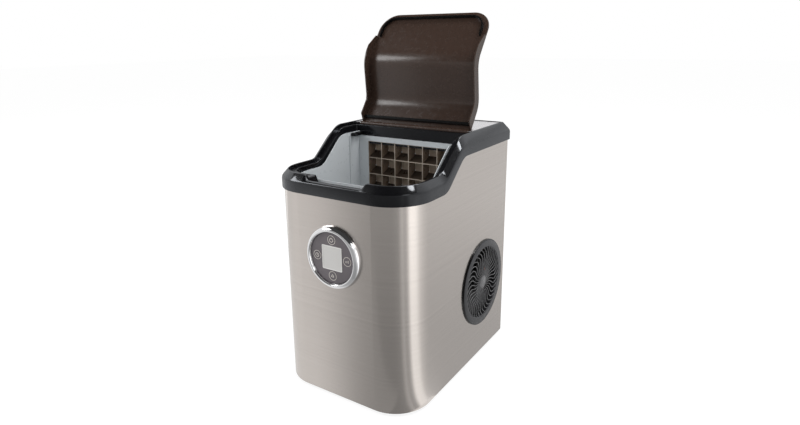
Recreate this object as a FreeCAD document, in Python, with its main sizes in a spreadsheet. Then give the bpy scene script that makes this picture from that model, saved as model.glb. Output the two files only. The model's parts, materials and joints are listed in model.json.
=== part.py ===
import FreeCAD, Part
import math
import os
import re
import Sketcher

# Countertop clear-ice maker. Sizes are millimetres, +Z is up and the front faces -Y.
# Every piece is drawn from the front face (y = 0) and the cabinet's lower edge (z = 0), and
# stand() then sets it on its feet, centred over the origin.

sizes = {
    # cabinet
    "case_width": 245, "case_depth": 324, "case_rear": 356, "case_step": 44,
    "case_corner": 58, "case_sheet": 0.8, "case_tuck": 8, "case_return": 14,
    "ramp_run": 51.7, "ramp_lead": 47.8, "ramp_round": 48,
    "foot_height": 5, "foot_radius": 11, "foot_inset": 34, "stud_radius": 3,
    "pan_floor": 3, "pan_wall": 2.5, "pan_height": 18, "panel_sheet": 1.2, "panel_fit": 0.3,
    "screw_radius": 1.6, "screw_head": 3.4, "screw_length": 9, "screw_edge": 32,
    "vent_low": 106.8, "vent_pitch": 15, "vent_row": 34, "vent_height": 24, "vent_x": 8,
    # rim, deck and lid
    "rim_overhang": 3, "rim_crest": 26.5, "rim_crest_rear": 30, "rim_bevel_rise": 10.5,
    "rim_bevel_run": 9.5, "crest_lead": 3.3, "crest_lag": 4.3, "crest_width": 3,
    "rim_web": 14, "rim_wall": 2.5, "ledge_drop": 5, "throat_lead": 2.4,
    "rim_shelf": 16.2, "skirt_room": 3.3,
    "throat_corner": 30, "notch_half": 46, "notch_slope": 9, "notch_drop": 9.5,
    "deck_lead": 4.2, "deck_tail": 8, "deck_margin": 9.5, "deck_sheet": 1.5, "deck_sink": 1,
    "lid_gap": 2.3, "lid_sheet": 2.5, "hinge_back": 10.5, "hinge_drop": 4, "lid_rise": 4.5,
    "lid_back": 50, "lid_level": 1.5, "lid_slope": 52, "lid_edge": 21, "lid_round": 20,
    "lid_corner": 33, "lid_skirt": 18, "lid_skirt_wall": 2.2, "lid_flange": 6, "lid_rib": 5.5,
    "lid_open": 126, "barrel_radius": 4, "pin_radius": 1.5, "pin_length": 20, "pin_seat": 6,
    "bumper_radius": 2.6,
    # ice bin
    "tub_gap": 6.3, "bin_front": 30, "bay_room": 54, "mould_bay": 82, "bin_wall": 1.2,
    "bin_corner": 30, "bin_floor": 25.2, "slope_drop": 48, "slope_gap": 4.2,
    "lip_sink": 11, "lip_sink_rear": 15, "lip_lead": 1.7, "lip_lag": 4.3,
    "gutter": 25, "foam_gap": 0.3, "rear_foam": 8,
    "basket_gap": 9, "basket_lead": 6, "basket_tail": 4, "basket_floor": 95,
    "basket_height": 118, "basket_wall": 2, "basket_corner": 24, "rail_height": 10, "rail_grip": 5,
    "slide_sheet": 3, "slide_lift": 5, "slide_gap": 2, "slide_slots": 12,
    # ice mould and water
    "mould_inset": 31.4, "mould_deep": 21.4, "mould_sink": 8.4, "mould_side": 19.3,
    "cell_height": 28.6, "cell_columns": 6, "cell_rows": 4, "cell_wall": 1.2, "cell_tilt": 8.5,
    "frame_sink": 8, "frame_lip": 3, "frame_edge": 2.6, "plate_sheet": 1.5,
    "coil_radius": 3.5, "coil_runs": 6, "coil_pitch": 18, "coil_bend": 8.5,
    "spray_radius": 2.6, "spray_hole": 0.8, "hose_radius": 4, "hose_bend": 9,
    "pump_inset": 34.5, "pump_gap": 28, "pump_radius": 15, "pump_height": 62, "pump_chamber": 12,
    "spigot_radius": 5, "spigot_height": 34, "drain_x": 45, "drain_height": 33, "drain_radius": 7,
    "probe_radius": 1.5, "shaft_radius": 1.5, "running_fit": 0.08,
    # control panel
    "dial_drop": 86.5, "bezel_width": 9.5, "bezel_bore": 38, "bezel_proud": 9, "sleeve_wall": 1.5,
    "face_sheet": 2, "face_sink": 4, "window_width": 34, "window_height": 35,
    "key_edge": 0.75, "post_inset": 16, "key_radius": 5.7, "key_gap": 0.3, "key_travel": 0.7,
    "board_sheet": 1.6, "housing_deep": 17,
    # cooling fan, condenser and compressor
    "fan_square": 120, "fan_tail": 27.4, "fan_room": 0.6, "fan_seat": 1.6, "fan_deep": 25, "fan_rim": 2.5,
    "fan_hub": 21, "fan_blades": 7, "fan_tip_gap": 1.2, "shroud_deep": 7, "grille_flange": 13,
    "grille_hub": 14.5, "grille_proud": 2.8, "grille_slats": 38, "slat_width": 2.2,
    "fin_gap": 0.5, "fin_deep": 30, "fin_count": 24, "fin_sheet": 0.8, "cond_pitch": 24,
    "cond_radius": 3.5, "end_plate": 1.2, "comp_x": -22, "comp_tail": 84, "comp_radius": 50,
    "comp_room": 35.5, "comp_seat": 17.5, "comp_plate": 2.5, "comp_bolt_x": 52, "comp_bolt_y": 27,
    "line_radius": 3, "gas_radius": 2.5, "fine_radius": 1.2, "drier_radius": 8, "drier_length": 60,
    # electrical parts
    "box_sink": 11, "box_tall": 95, "box_wide": 160, "box_inset": 22.5, "box_deep": 78,
    "box_wall": 2, "inlet_inset": 37.5, "inlet_z": 60, "inlet_width": 28, "inlet_height": 20,
    "slot_radius": 2.2,
}

# Sizes and places that follow from the ones above, each with a named clearance.
fitted = {
    "case_front": "case_rear - case_step",
    "grille_open": "fan_square / 2",
    "grille_radius": "grille_open + grille_flange",
    "fan_bore": "fan_square / 2 - fan_rim",
    "bin_rear": "case_depth - fan_square - bay_room",
    "bin_back": "bin_rear + mould_bay",
    "mould_front": "bin_back - mould_inset",
    "throat_rear": "mould_front + throat_lead",
    "ramp_rear": "throat_rear - ramp_lead",
    "ramp_front": "ramp_rear - ramp_run",
    "crest_front": "ramp_front - crest_lead",
    "crest_rear": "ramp_rear + crest_lag",
    "lip_ramp_front": "ramp_front - lip_lead",
    "lip_ramp_rear": "ramp_rear - lip_lag",
    "throat_half": "case_width / 2 - rim_shelf",
    "deck_half": "case_width / 2 - deck_margin",
    "deck_front": "throat_rear + deck_lead",
    "deck_rear": "case_depth - deck_tail",
    "lid_half": "throat_half - lid_gap",
    "skirt_x": "lid_half - lid_skirt_wall / 2 + 0.1",
    "lid_axis_y": "throat_rear + hinge_back",
    "lid_axis_z": "case_rear + rim_crest_rear - hinge_drop",
    "lid_fall": "case_step + rim_crest_rear - rim_crest - lid_level",
    "lid_front": "lid_axis_y - lid_back - lid_slope - lid_edge",
    "bin_half": "throat_half - tub_gap",
    "lip_front": "case_front + rim_crest - lip_sink",
    "lip_rear": "case_rear + rim_crest_rear - lip_sink_rear",
    "frame_top": "lip_rear - frame_sink",
    "mould_top": "frame_top - mould_sink",
    "cell_width": "2 * (bin_half - mould_side) / cell_columns",
    "slope_head": "mould_top - cell_rows * cell_height - slope_gap",
    "slope_foot": "slope_head - slope_drop",
    "basket_half": "bin_half - basket_gap",
    "basket_front": "bin_front + basket_lead",
    "basket_rear": "bin_rear - basket_tail",
    "slide_half": "bin_half - slide_gap",
    "pump_x": "case_width / 2 - pump_inset",
    "pump_y": "bin_rear + pump_gap",
    "dial_height": "case_front - dial_drop",
    "bezel_radius": "bezel_bore + bezel_width",
    "key_ring": "(bezel_bore + window_height / 2) / 2 - key_edge",
    "post_place": "bezel_bore - post_inset",
    "fan_y": "case_depth - fan_square / 2 - fan_tail",
    "fan_z": "slope_foot - fan_square / 2 - fan_room",
    "comp_y": "case_depth - comp_tail",
    "comp_height": "slope_foot - comp_room - pan_floor - comp_seat",
    "box_high": "case_rear - box_sink",
    "box_low": "box_high - box_tall",
    "box_right": "case_width / 2 - box_inset",
    "box_left": "box_right - box_wide",
    "box_front": "case_depth - box_deep",
    "inlet_x": "inlet_inset - case_width / 2",
}

doc = FreeCAD.newDocument("IceMaker")
dims = doc.addObject("Spreadsheet::Sheet", "dims")
for row, (alias, number) in enumerate(sizes.items(), start=1):
    dims.set(f"A{row}", alias)
    dims.set(f"B{row}", str(number))
    dims.setAlias(f"B{row}", alias)
doc.recompute()
for row, (alias, rule) in enumerate(fitted.items(), start=1):
    dims.set(f"D{row}", alias)
    dims.set(f"E{row}", f"={rule}")
    dims.setAlias(f"E{row}", alias)
    doc.recompute()

# Measures that follow from the driving sizes.
half_width = "case_width / 2"
inner_half = "(case_width / 2 - case_sheet)"
rear_edge = "(case_depth + rim_overhang)"
crest_low = "(case_front + rim_crest)"
crest_high = "(case_rear + rim_crest_rear)"
slope = "((slope_head - slope_foot) / (bin_back - bin_rear))"
mould_low = "(mould_top - cell_rows * cell_height)"
mould_half = "(cell_columns * cell_width / 2)"
panel_back = "(case_depth - case_sheet)"
panel_front = "(case_depth - case_sheet - panel_sheet)"
lid_length = "(lid_back + lid_slope + lid_front)"
face_y = "(face_sink - bezel_proud)"
grille_face = "(case_width / 2 + grille_proud)"
fan_out = "(case_width / 2 - case_sheet - fan_seat)"
fan_in = f"({fan_out} - fan_deep)"
shroud_in = f"({fan_in} - shroud_deep)"
fin_mid = f"({shroud_in} - fin_gap - fin_deep / 2)"
comp_base = "(pan_floor + comp_seat)"
comp_top = "(pan_floor + comp_seat + comp_height)"
coil_y = "(mould_front + mould_deep + plate_sheet + coil_radius)"
coil_top = "(mould_top - 15)"
coil_low = "(mould_top - 15 - (coil_runs - 1) * coil_pitch)"
coil_x = "(4 - cell_columns * cell_width / 2 - coil_bend)"
spray_y = "(mould_front + mould_deep / 2)"
spray_z = "(frame_top - frame_edge - spray_radius - 0.2)"
foam_rear = "(bin_rear + bin_wall + rear_foam)"
foam_back = "(bin_back + bin_wall + rear_foam)"
screw_levels = ("screw_edge", "case_rear / 2", "case_rear - screw_edge")

normals = {"XY": "z", "XZ": "y", "YZ": "x"}
turns = {
    "XY": FreeCAD.Rotation(),
    "XZ": FreeCAD.Rotation(FreeCAD.Vector(1, 0, 0), 90),
    "YZ": FreeCAD.Rotation(FreeCAD.Vector(1, 1, 1), 120),
}
axes = {"x": FreeCAD.Vector(1, 0, 0), "y": FreeCAD.Vector(0, 1, 0), "z": FreeCAD.Vector(0, 0, 1)}
known = {**sizes, **fitted}
parts = []
used_names = {}


def bound(text):
    """Point each size named in an expression at its cell."""
    return re.sub(r"[a-z_]+[a-z0-9_]*", lambda m: f"dims.{m[0]}" if m[0] in known else m[0], str(text))


def num(text):
    """The present value of an expression."""
    value = dims.evalExpression(bound(text))
    return float(getattr(value, "Value", value))


def named(name):
    used_names[name] = used_names.get(name, 0) + 1
    return name if used_names[name] == 1 else f"{name}_{used_names[name]}"


def add(kind, name):
    return doc.addObject(kind, named(name))


def locate(obj, x="0", y="0", z="0"):
    """Bind an object's place to expressions."""
    for axis, text in zip("xyz", (x, y, z)):
        obj.setExpression(f"Placement.Base.{axis}", bound(text))
    return obj


def stand(obj, label):
    """Name a finished piece and set it in the machine's own frame."""
    own = {path.lstrip("."): text for path, text in obj.ExpressionEngine}
    shifts = {"y": bound(f"(bezel_proud - {rear_edge}) / 2"), "z": bound("foot_height")}
    for axis, shift in shifts.items():
        path = f"Placement.Base.{axis}"
        obj.setExpression(path, f"{own.get(path, '0')} + {shift}")
    obj.Label = label
    parts.append(obj)
    return obj


def draw_loops(sketch, loops):
    """Draw closed outlines bound to the sheet. A point is (u, v) or (u, v, corner radius)."""
    for loop in loops:
        start = sketch.GeometryCount
        spots = [FreeCAD.Vector(num(p[0]), num(p[1]), 0) for p in loop]
        count = len(spots)
        for i, spot in enumerate(spots):
            sketch.addGeometry(Part.LineSegment(spot, spots[(i + 1) % count]), False)
        for i in range(count):
            after = start + (i + 1) % count
            sketch.addConstraint(Sketcher.Constraint("Coincident", start + i, 2, after, 1))
        for i, point in enumerate(loop):
            for kind, text, value in (("DistanceX", point[0], spots[i].x),
                                      ("DistanceY", point[1], spots[i].y)):
                index = sketch.addConstraint(Sketcher.Constraint(kind, -1, 1, start + i, 1, value))
                sketch.setExpression(f"Constraints[{index}]", bound(text))
        for i, point in enumerate(loop):
            if len(point) > 2:
                sketch.fillet(start + i, 1, num(point[2]), True, True)
                arc = max(k for k in range(sketch.GeometryCount)
                          if isinstance(sketch.Geometry[k], Part.ArcOfCircle))
                index = sketch.addConstraint(Sketcher.Constraint("Radius", arc, num(point[2])))
                sketch.setExpression(f"Constraints[{index}]", bound(point[2]))


def draw_circles(sketch, circles):
    """Draw circles (u, v, radius) bound to the sheet."""
    for u, v, radius in circles:
        centre = FreeCAD.Vector(num(u), num(v), 0)
        shape = sketch.addGeometry(Part.Circle(centre, FreeCAD.Vector(0, 0, 1), num(radius)), False)
        for kind, text, value in (("DistanceX", u, centre.x), ("DistanceY", v, centre.y)):
            index = sketch.addConstraint(Sketcher.Constraint(kind, -1, 1, shape, 3, value))
            sketch.setExpression(f"Constraints[{index}]", bound(text))
        index = sketch.addConstraint(Sketcher.Constraint("Radius", shape, num(radius)))
        sketch.setExpression(f"Constraints[{index}]", bound(radius))


def prism(name, plane, loops=(), low="0", high="1", circles=()):
    """Outlines on a plane, extruded from one level to another along its normal."""
    sketch = add("Sketcher::SketchObject", f"{name}_outline")
    sketch.Placement = FreeCAD.Placement(FreeCAD.Vector(), turns[plane])
    draw_loops(sketch, loops)
    draw_circles(sketch, circles)
    axis = normals[plane]
    sketch.setExpression(f"Placement.Base.{axis}", bound(low))
    solid = add("Part::Extrusion", name)
    solid.Base = sketch
    solid.DirMode = "Custom"
    solid.Dir = axes[axis]
    solid.Solid = True
    solid.FaceMakerClass = "Part::FaceMakerBullseye"
    solid.setExpression("LengthFwd", bound(f"{high} - ({low})"))
    return solid


def rectangle(u0, v0, u1, v1):
    return [(u0, v0), (u1, v0), (u1, v1), (u0, v1)]


def block(name, x, y, z):
    """A box given by its low and high coordinates along each axis."""
    box = add("Part::Box", name)
    for side, (low, high) in zip(("Length", "Width", "Height"), (x, y, z)):
        box.setExpression(side, bound(f"{high} - ({low})"))
    return locate(box, x[0], y[0], z[0])


def rod(name, axis, centre, radius, low, high):
    """A cylinder along an axis, between two levels of that axis."""
    cylinder = add("Part::Cylinder", name)
    cylinder.Placement = FreeCAD.Placement(FreeCAD.Vector(), FreeCAD.Rotation(axes["z"], axes[axis]))
    cylinder.setExpression("Radius", bound(radius))
    cylinder.setExpression("Height", bound(f"{high} - ({low})"))
    place = dict(zip([a for a in "xyz" if a != axis], centre))
    place[axis] = low
    return locate(cylinder, place["x"], place["y"], place["z"])


def cut(name, base, *tools):
    tool = tools[0] if len(tools) == 1 else fuse(f"{name}_tools", *tools)
    result = add("Part::Cut", name)
    result.Base = base
    result.Tool = tool
    return result


def fuse(name, *pieces):
    result = add("Part::MultiFuse", name)
    result.Shapes = list(pieces)
    return result


def common(name, *pieces):
    result = add("Part::MultiCommon", name)
    result.Shapes = list(pieces)
    return result


def group(name, *pieces):
    """Separate solids that share one node."""
    result = add("Part::Compound", name)
    result.Links = list(pieces)
    return result


def body(name):
    return add("PartDesign::Body", name)


def body_sketch(owner, plane, loops, level, circles=()):
    sketch = owner.newObject("Sketcher::SketchObject", named(f"{owner.Name}_sketch"))
    origin = next(f for f in owner.Origin.OriginFeatures if f.Role == f"{plane}_Plane")
    sketch.AttachmentSupport = [(origin, "")]
    sketch.MapMode = "FlatFace"
    sign = "-1" if plane == "XZ" else "1"
    sketch.setExpression("AttachmentOffset.Base.z", bound(f"{sign} * ({level})"))
    draw_loops(sketch, loops)
    draw_circles(sketch, circles)
    return sketch


def pad(owner, plane, loops=(), low="0", high="1", circles=()):
    """Add material between two levels. The XZ plane's own normal points along -Y."""
    start = high if plane == "XZ" else low
    feature = owner.newObject("PartDesign::Pad", named(f"{owner.Name}_pad"))
    feature.Profile = body_sketch(owner, plane, loops, start, circles)
    feature.setExpression("Length", bound(f"{high} - ({low})"))
    doc.recompute()
    return feature


def pocket(owner, plane, loops=(), low="0", high="1", circles=()):
    """Remove material between two levels, and check that it was really removed."""
    before = owner.Shape.Volume
    start = low if plane == "XZ" else high
    feature = owner.newObject("PartDesign::Pocket", named(f"{owner.Name}_pocket"))
    feature.Profile = body_sketch(owner, plane, loops, start, circles)
    feature.setExpression("Length", bound(f"{high} - ({low})"))
    doc.recompute()
    if owner.Shape.Volume >= before:
        raise RuntimeError(f"{feature.Name} removed nothing")
    return feature


def revolve(owner, plane, loops, axis_name):
    """Turn a profile round one of the body's own axes."""
    feature = owner.newObject("PartDesign::Revolution", named(f"{owner.Name}_turned"))
    feature.Profile = body_sketch(owner, plane, loops, "0")
    axis = next(f for f in owner.Origin.OriginFeatures if f.Role == f"{axis_name}_Axis")
    feature.ReferenceAxis = (axis, [""])
    feature.Angle = 360
    doc.recompute()
    return feature


def polar(owner, feature, axis_name, count):
    """Repeat a feature round one of the body's own axes."""
    pattern = owner.newObject("PartDesign::PolarPattern", named(f"{owner.Name}_ring"))
    pattern.Originals = [feature]
    axis = next(f for f in owner.Origin.OriginFeatures if f.Role == f"{axis_name}_Axis")
    pattern.Axis = (axis, [""])
    pattern.Angle = 360
    pattern.setExpression("Occurrences", bound(count))
    owner.Tip = pattern
    doc.recompute()
    return pattern


def pipe(name, route, radius, bend):
    """A round pipe along straight runs joined by tangent arcs."""
    points = [FreeCAD.Vector(*(num(c) for c in spot)) for spot in route]
    size = num(bend)
    edges = []
    start = points[0]
    for before, corner, after in zip(points, points[1:], points[2:]):
        inward = (before - corner).normalize()
        outward = (after - corner).normalize()
        half_turn = (math.pi - inward.getAngle(outward)) / 2
        reach = size * math.tan(half_turn)
        middle = corner + (inward + outward).normalize() * (size / math.cos(half_turn) - size)
        edges.append(Part.LineSegment(start, corner + inward * reach).toShape())
        edges.append(Part.Arc(corner + inward * reach, middle, corner + outward * reach).toShape())
        start = corner + outward * reach
    edges.append(Part.LineSegment(start, points[-1]).toShape())
    path = Part.Wire(edges)
    ring = Part.Wire([Part.makeCircle(num(radius), points[0], points[1] - points[0])])
    solid = path.makePipeShell([ring], True, False)
    feature = add("Part::Feature", name)
    feature.Shape = solid
    drift = solid.Volume / (math.pi * num(radius) ** 2 * path.Length)
    if abs(drift - 1) > 0.02:
        raise RuntimeError(f"{name} isn't its section times its length")
    return feature


def ramp_profile(front, rear, ramp_front, ramp_rear, bottom, y0, y1, drop="0"):
    """Side outline with the stepped top: low at the front, a ramp, then high at the rear."""
    return [(y0, bottom), (y1, bottom), (y1, f"{rear} - {drop}"),
            (ramp_rear, f"{rear} - {drop}", "ramp_round"), (ramp_front, f"{front} - {drop}", "ramp_round"),
            (y0, f"{front} - {drop}")]


def above_ramp(front, rear, ramp_front, ramp_rear, y0, y1, drop="0"):
    """The space over such a stepped top."""
    return ramp_profile(front, rear, ramp_front, ramp_rear, "case_rear + 100", y0, y1, drop)


def plan(half, front, rear, corner):
    """Plan outline: square at the rear, rounded at the two front corners."""
    return [(f"-({half})", rear), (f"-({half})", front, corner), (half, front, corner), (half, rear)]


# ---- cabinet ----

def make_wrap_shell():
    """Steel sheet folded round the front and both sides, with a return at each rear edge."""
    inner = "case_corner - case_sheet"
    reach = f"{half_width} - case_return"
    outline = [
        (f"-{half_width}", "case_depth"), (f"-{half_width}", "0", "case_corner"),
        (half_width, "0", "case_corner"), (half_width, "case_depth"), (reach, "case_depth"),
        (reach, panel_back), (inner_half, panel_back), (inner_half, "case_sheet", inner),
        (f"-{inner_half}", "case_sheet", inner), (f"-{inner_half}", panel_back),
        (f"-({reach})", panel_back), (f"-({reach})", "case_depth"),
    ]
    shell = body("wrap")
    pad(shell, "XY", [outline], "0", "case_rear + case_tuck + 20")
    top = above_ramp("case_front", "case_rear", "ramp_front", "ramp_rear", "-10", "case_depth + 10",
                     "(0 - case_tuck)")
    pocket(shell, "YZ", [top], f"-{half_width} - 5", f"{half_width} + 5")
    pocket(shell, "YZ", (), "0", f"{half_width} + 5", [("fan_y", "fan_z", "grille_open + 1")])
    bore = "bezel_bore + sleeve_wall + 0.2"
    pocket(shell, "XZ", (), "-5", "case_corner / 2", [("0", "dial_height", bore)])
    for side in ("-1", "1"):
        spots = [(f"{side} * ({half_width} - case_return / 2)", z, "screw_radius + 0.2")
                 for z in screw_levels]
        pocket(shell, "XZ", (), f"{panel_back} - 0.5", "case_depth + 5", spots)
    return stand(shell, "wrap_shell")


def make_base_pan():
    """Moulded tray that closes the cabinet's underside."""
    gap = "0.3"
    outer = plan(f"{inner_half} - {gap}", f"case_sheet + {gap}", f"{panel_front} - {gap}",
                 f"case_corner - case_sheet - {gap}")
    inner = plan(f"{inner_half} - {gap} - pan_wall", f"case_sheet + {gap} + pan_wall",
                 f"{panel_front} - {gap} - pan_wall", f"case_corner - case_sheet - {gap} - pan_wall")
    tray = body("tray")
    pad(tray, "XY", [outer], "0", "pan_height")
    pocket(tray, "XY", [inner], "pan_floor", "pan_height + 5")
    pocket(tray, "XY", (), "-5", "pan_floor + 5", [(x, y, "stud_radius") for x, y in foot_spots()])
    return stand(tray, "base_pan")


def foot_spots():
    side = f"({half_width} - foot_inset)"
    return [(f"{sign} * {side}", y) for sign in ("-1", "1")
            for y in ("foot_inset", "case_depth - foot_inset")]


def make_rubber_feet():
    feet = []
    for x, y in foot_spots():
        pad_part = rod("foot_pad", "z", (x, y), "foot_radius", "-foot_height", "0")
        stud = rod("foot_stud", "z", (x, y), "stud_radius", "0", "pan_floor + 1.5")
        feet.append(fuse("foot", pad_part, stud))
    return stand(group("feet", *feet), "rubber_feet")


def make_back_panel():
    """Rear sheet with vent slots, behind the cabinet's returns."""
    wide = f"({inner_half} - panel_fit)"
    sheet = prism("rear_sheet", "XZ", [rectangle(f"-{wide}", "pan_height + panel_fit", wide,
                                                 "case_rear - 2")],
                  panel_front, panel_back)
    slots = []
    for row in range(3):
        for column in range(9):
            x = f"{column - 4} * vent_pitch + vent_x"
            low = f"vent_low + {row} * vent_row"
            slots.append(block("vent", (f"{x} - slot_radius", f"{x} + slot_radius"),
                               (f"{panel_front} - 1", "case_depth + 1"), (low, f"{low} + vent_height")))
    socket = block("inlet_hole", (f"inlet_x - inlet_width / 2", f"inlet_x + inlet_width / 2"),
                   (f"{panel_front} - 1", "case_depth + 1"),
                   ("inlet_z - inlet_height / 2", "inlet_z + inlet_height / 2"))
    spout = rod("drain_hole", "y", ("drain_x", "drain_height"), "drain_radius", f"{panel_front} - 1",
                "case_depth + 1")
    pilots = [rod("pilot", "y", (f"{sign} * ({half_width} - case_return / 2)", z), "screw_radius",
                  f"{panel_front} - 1", "case_depth + 1") for sign in ("-1", "1") for z in screw_levels]
    return stand(cut("rear_cover", sheet, socket, spout, *slots, *pilots), "back_panel")


def make_back_panel_screws():
    screws = []
    for sign in ("-1", "1"):
        for z in screw_levels:
            x = f"{sign} * ({half_width} - case_return / 2)"
            head = rod("head", "y", (x, z), "screw_head", "case_depth", "case_depth + 1.8")
            shank = rod("shank", "y", (x, z), "screw_radius", "case_depth + 1 - screw_length", "case_depth")
            screws.append(fuse("screw", head, shank))
    return stand(group("screws", *screws), "back_panel_screws")


# ---- rim, deck and lid ----

def crest(drop="0", y0="-20", y1="case_depth + 20", bottom="0"):
    return ramp_profile(crest_low, crest_high, "crest_front", "crest_rear", bottom, y0, y1, drop)


def above_crest(drop, y0, y1):
    return above_ramp(crest_low, crest_high, "crest_front", "crest_rear", y0, y1, drop)


def outer_top_edges(solid):
    """Names of the edges round the top of the rim's outer face."""
    names = []
    wide = num(f"{half_width} + rim_overhang")
    corner = num("case_corner + rim_overhang")
    front = num("0 - rim_overhang")
    for index, edge in enumerate(solid.Edges, start=1):
        middle = edge.valueAt((edge.FirstParameter + edge.LastParameter) / 2)
        level = abs(edge.tangentAt((edge.FirstParameter + edge.LastParameter) / 2).z) < 0.95
        if middle.z < num("case_front"):
            continue
        on_side = abs(abs(middle.x) - wide) < 0.01
        on_end = abs(middle.y - front) < 0.01 or abs(middle.y - num(rear_edge)) < 0.01
        reach = math.hypot(abs(middle.x) - (wide - corner), middle.y - (front + corner))
        on_corner = abs(reach - corner) < 0.01 and middle.y < front + corner
        if level and (on_side or on_end or on_corner):
            names.append(f"Edge{index}")
    return names


def make_top_rim():
    """Gloss rim: an outer band, a bevel up to the crest, a ledge and the throat."""
    wide = f"({half_width} + rim_overhang)"
    blank = body("rim")
    pad(blank, "YZ", [crest(y0="-rim_overhang", y1=rear_edge, bottom="lip_front - gutter")], f"-{wide}", wide)
    outside = plan(wide, "-rim_overhang", rear_edge, "case_corner + rim_overhang")
    margin = rectangle(f"-{wide} - 5", "-rim_overhang - 5", f"{wide} + 5", f"{rear_edge} + 5")
    rounded = pocket(blank, "XY", [margin, outside], "0", "case_rear + 60")
    bevel = blank.newObject("PartDesign::Chamfer", "rim_bevel")
    bevel.Base = (rounded, outer_top_edges(rounded.Shape))
    bevel.ChamferType = "Two distances"
    bevel.setExpression("Size", bound("rim_bevel_rise"))
    bevel.setExpression("Size2", bound("rim_bevel_run"))
    doc.recompute()

    wall_half = "throat_half + rim_wall"
    wall_front = "bin_front - bin_wall - rim_wall - 0.3"
    wall_rear = "throat_rear + rim_wall"
    wall_plan = plan(wall_half, wall_front, wall_rear, "throat_corner + rim_wall")
    below_steel = common("under_band",
        prism("under_steel", "YZ", [ramp_profile("case_front", "case_rear", "ramp_front", "ramp_rear", "0",
                                                 "-20", "case_depth + 20")], f"-{wide} - 5", f"{wide} + 5"),
        prism("round_wall", "XY", [margin, wall_plan], "0", "case_rear + 60"))
    groove = common("groove",
        prism("under_web", "YZ", [crest("rim_web")], f"-{wide}", wide),
        prism("round_groove", "XY", [plan(half_width, "0", "case_depth", "case_corner"), wall_plan],
              "0", "case_rear + 60"))
    under_wall = prism("under_wall", "YZ",
        [ramp_profile("lip_front", "lip_rear", "lip_ramp_front", "lip_ramp_rear", "0", "-20",
                      "case_depth + 20", "gutter")], f"-{wide}", wide)
    throat = prism("throat", "XY", [plan("throat_half", "bin_front - bin_wall - 0.3", "throat_rear",
                                         "throat_corner")],
                   "0", "case_rear + 60")
    ledge = common("ledge",
        prism("over_ledge", "YZ", [above_crest("ledge_drop", "-20", "throat_rear + rim_wall")],
              "-deck_half", "deck_half"),
        prism("ledge_plan", "XY", [plan("deck_half", "rim_bevel_run - rim_overhang + crest_width + 1",
                                        "throat_rear + rim_wall", "throat_corner + 12")],
              "0", "case_rear + 60"))
    rear_wall_foot = block("rear_wall_foot", ("-throat_half", "throat_half"), ("throat_rear", wall_rear),
                           ("0", "frame_top + 0.2"))
    skirt_slots = [block("skirt_slot", (f"{sign} * skirt_x - skirt_room", f"{sign} * skirt_x + skirt_room"),
                         ("throat_rear - 1", f"{wall_rear} + 1"), ("0", "case_rear + 60"))
                   for sign in ("-1", "1")]
    channel = block("hinge_channel", ("-throat_half + 0.6", "throat_half - 0.6"),
                    (wall_rear, "lid_axis_y + 9"),
                    ("lid_axis_z - 7", "case_rear + 60"))
    wall_top = block("wall_top", ("-throat_half", "throat_half"), ("throat_rear - 1", f"{wall_rear} + 1"),
                     ("lid_axis_z + 1.5", "case_rear + 60"))
    recess = block("deck_recess", ("-deck_half", "deck_half"), ("deck_front - 0.4", "deck_rear + 0.4"),
                   (f"{crest_high} - deck_sink - deck_sheet", "case_rear + 60"))
    notch = prism("notch", "XZ", [[("-notch_half", f"{crest_low} - notch_drop"),
                                   ("notch_half", f"{crest_low} - notch_drop"),
                                   ("notch_half + notch_slope + 4", f"{crest_low} + 4"),
                                   ("-notch_half - notch_slope - 4", f"{crest_low} + 4")]],
                  "-20", "bin_front")
    bores = rod("pin_bores", "x", ("lid_axis_y", "lid_axis_z"), "pin_radius", "-throat_half - pin_seat",
                "throat_half + pin_seat")
    rim = cut("rim_cut", blank, below_steel, groove, under_wall, throat, ledge, rear_wall_foot, *skirt_slots,
              channel, wall_top, recess, notch, bores)
    return stand(rim, "top_rim")


def make_top_deck():
    """Brushed plate let into the rim behind the lid, notched round the hinge."""
    low = f"{crest_high} - deck_sink - deck_sheet"
    edge = "deck_half - 0.5"
    nick = "throat_half + 0.6"
    behind = "lid_axis_y + 9.4"
    outline = [(f"-({edge})", "deck_front"), (f"-({nick})", "deck_front"), (f"-({nick})", behind),
               (nick, behind),
               (nick, "deck_front"), (edge, "deck_front"), (edge, "deck_rear"), (f"-({edge})", "deck_rear")]
    deck = body("deck")
    pad(deck, "XY", [outline], low, f"{low} + deck_sheet")
    return stand(deck, "top_deck")


def lid_side(depth, front="0", lower_round="lid_round", upper_round="lid_round"):
    """Closed lid seen from the side, with its origin on the hinge: a band under the outer surface."""
    return [
        ("2", "lid_rise"), ("-lid_back", "lid_rise", upper_round),
        ("-lid_back - lid_slope", "lid_rise - lid_fall", lower_round),
        (f"-{lid_length} + {front}", "lid_rise - lid_fall"),
        (f"-{lid_length} + {front}", f"lid_rise - lid_fall - {depth}"),
        (f"-lid_back - lid_slope - {depth} * 0.38", f"lid_rise - lid_fall - {depth}",
         f"{lower_round} + {depth} * 0.6"),
        (f"-lid_back - {depth} * 0.38", f"lid_rise - {depth}", f"{upper_round} / 2"),
        ("2", f"lid_rise - {depth}"),
    ]


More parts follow.
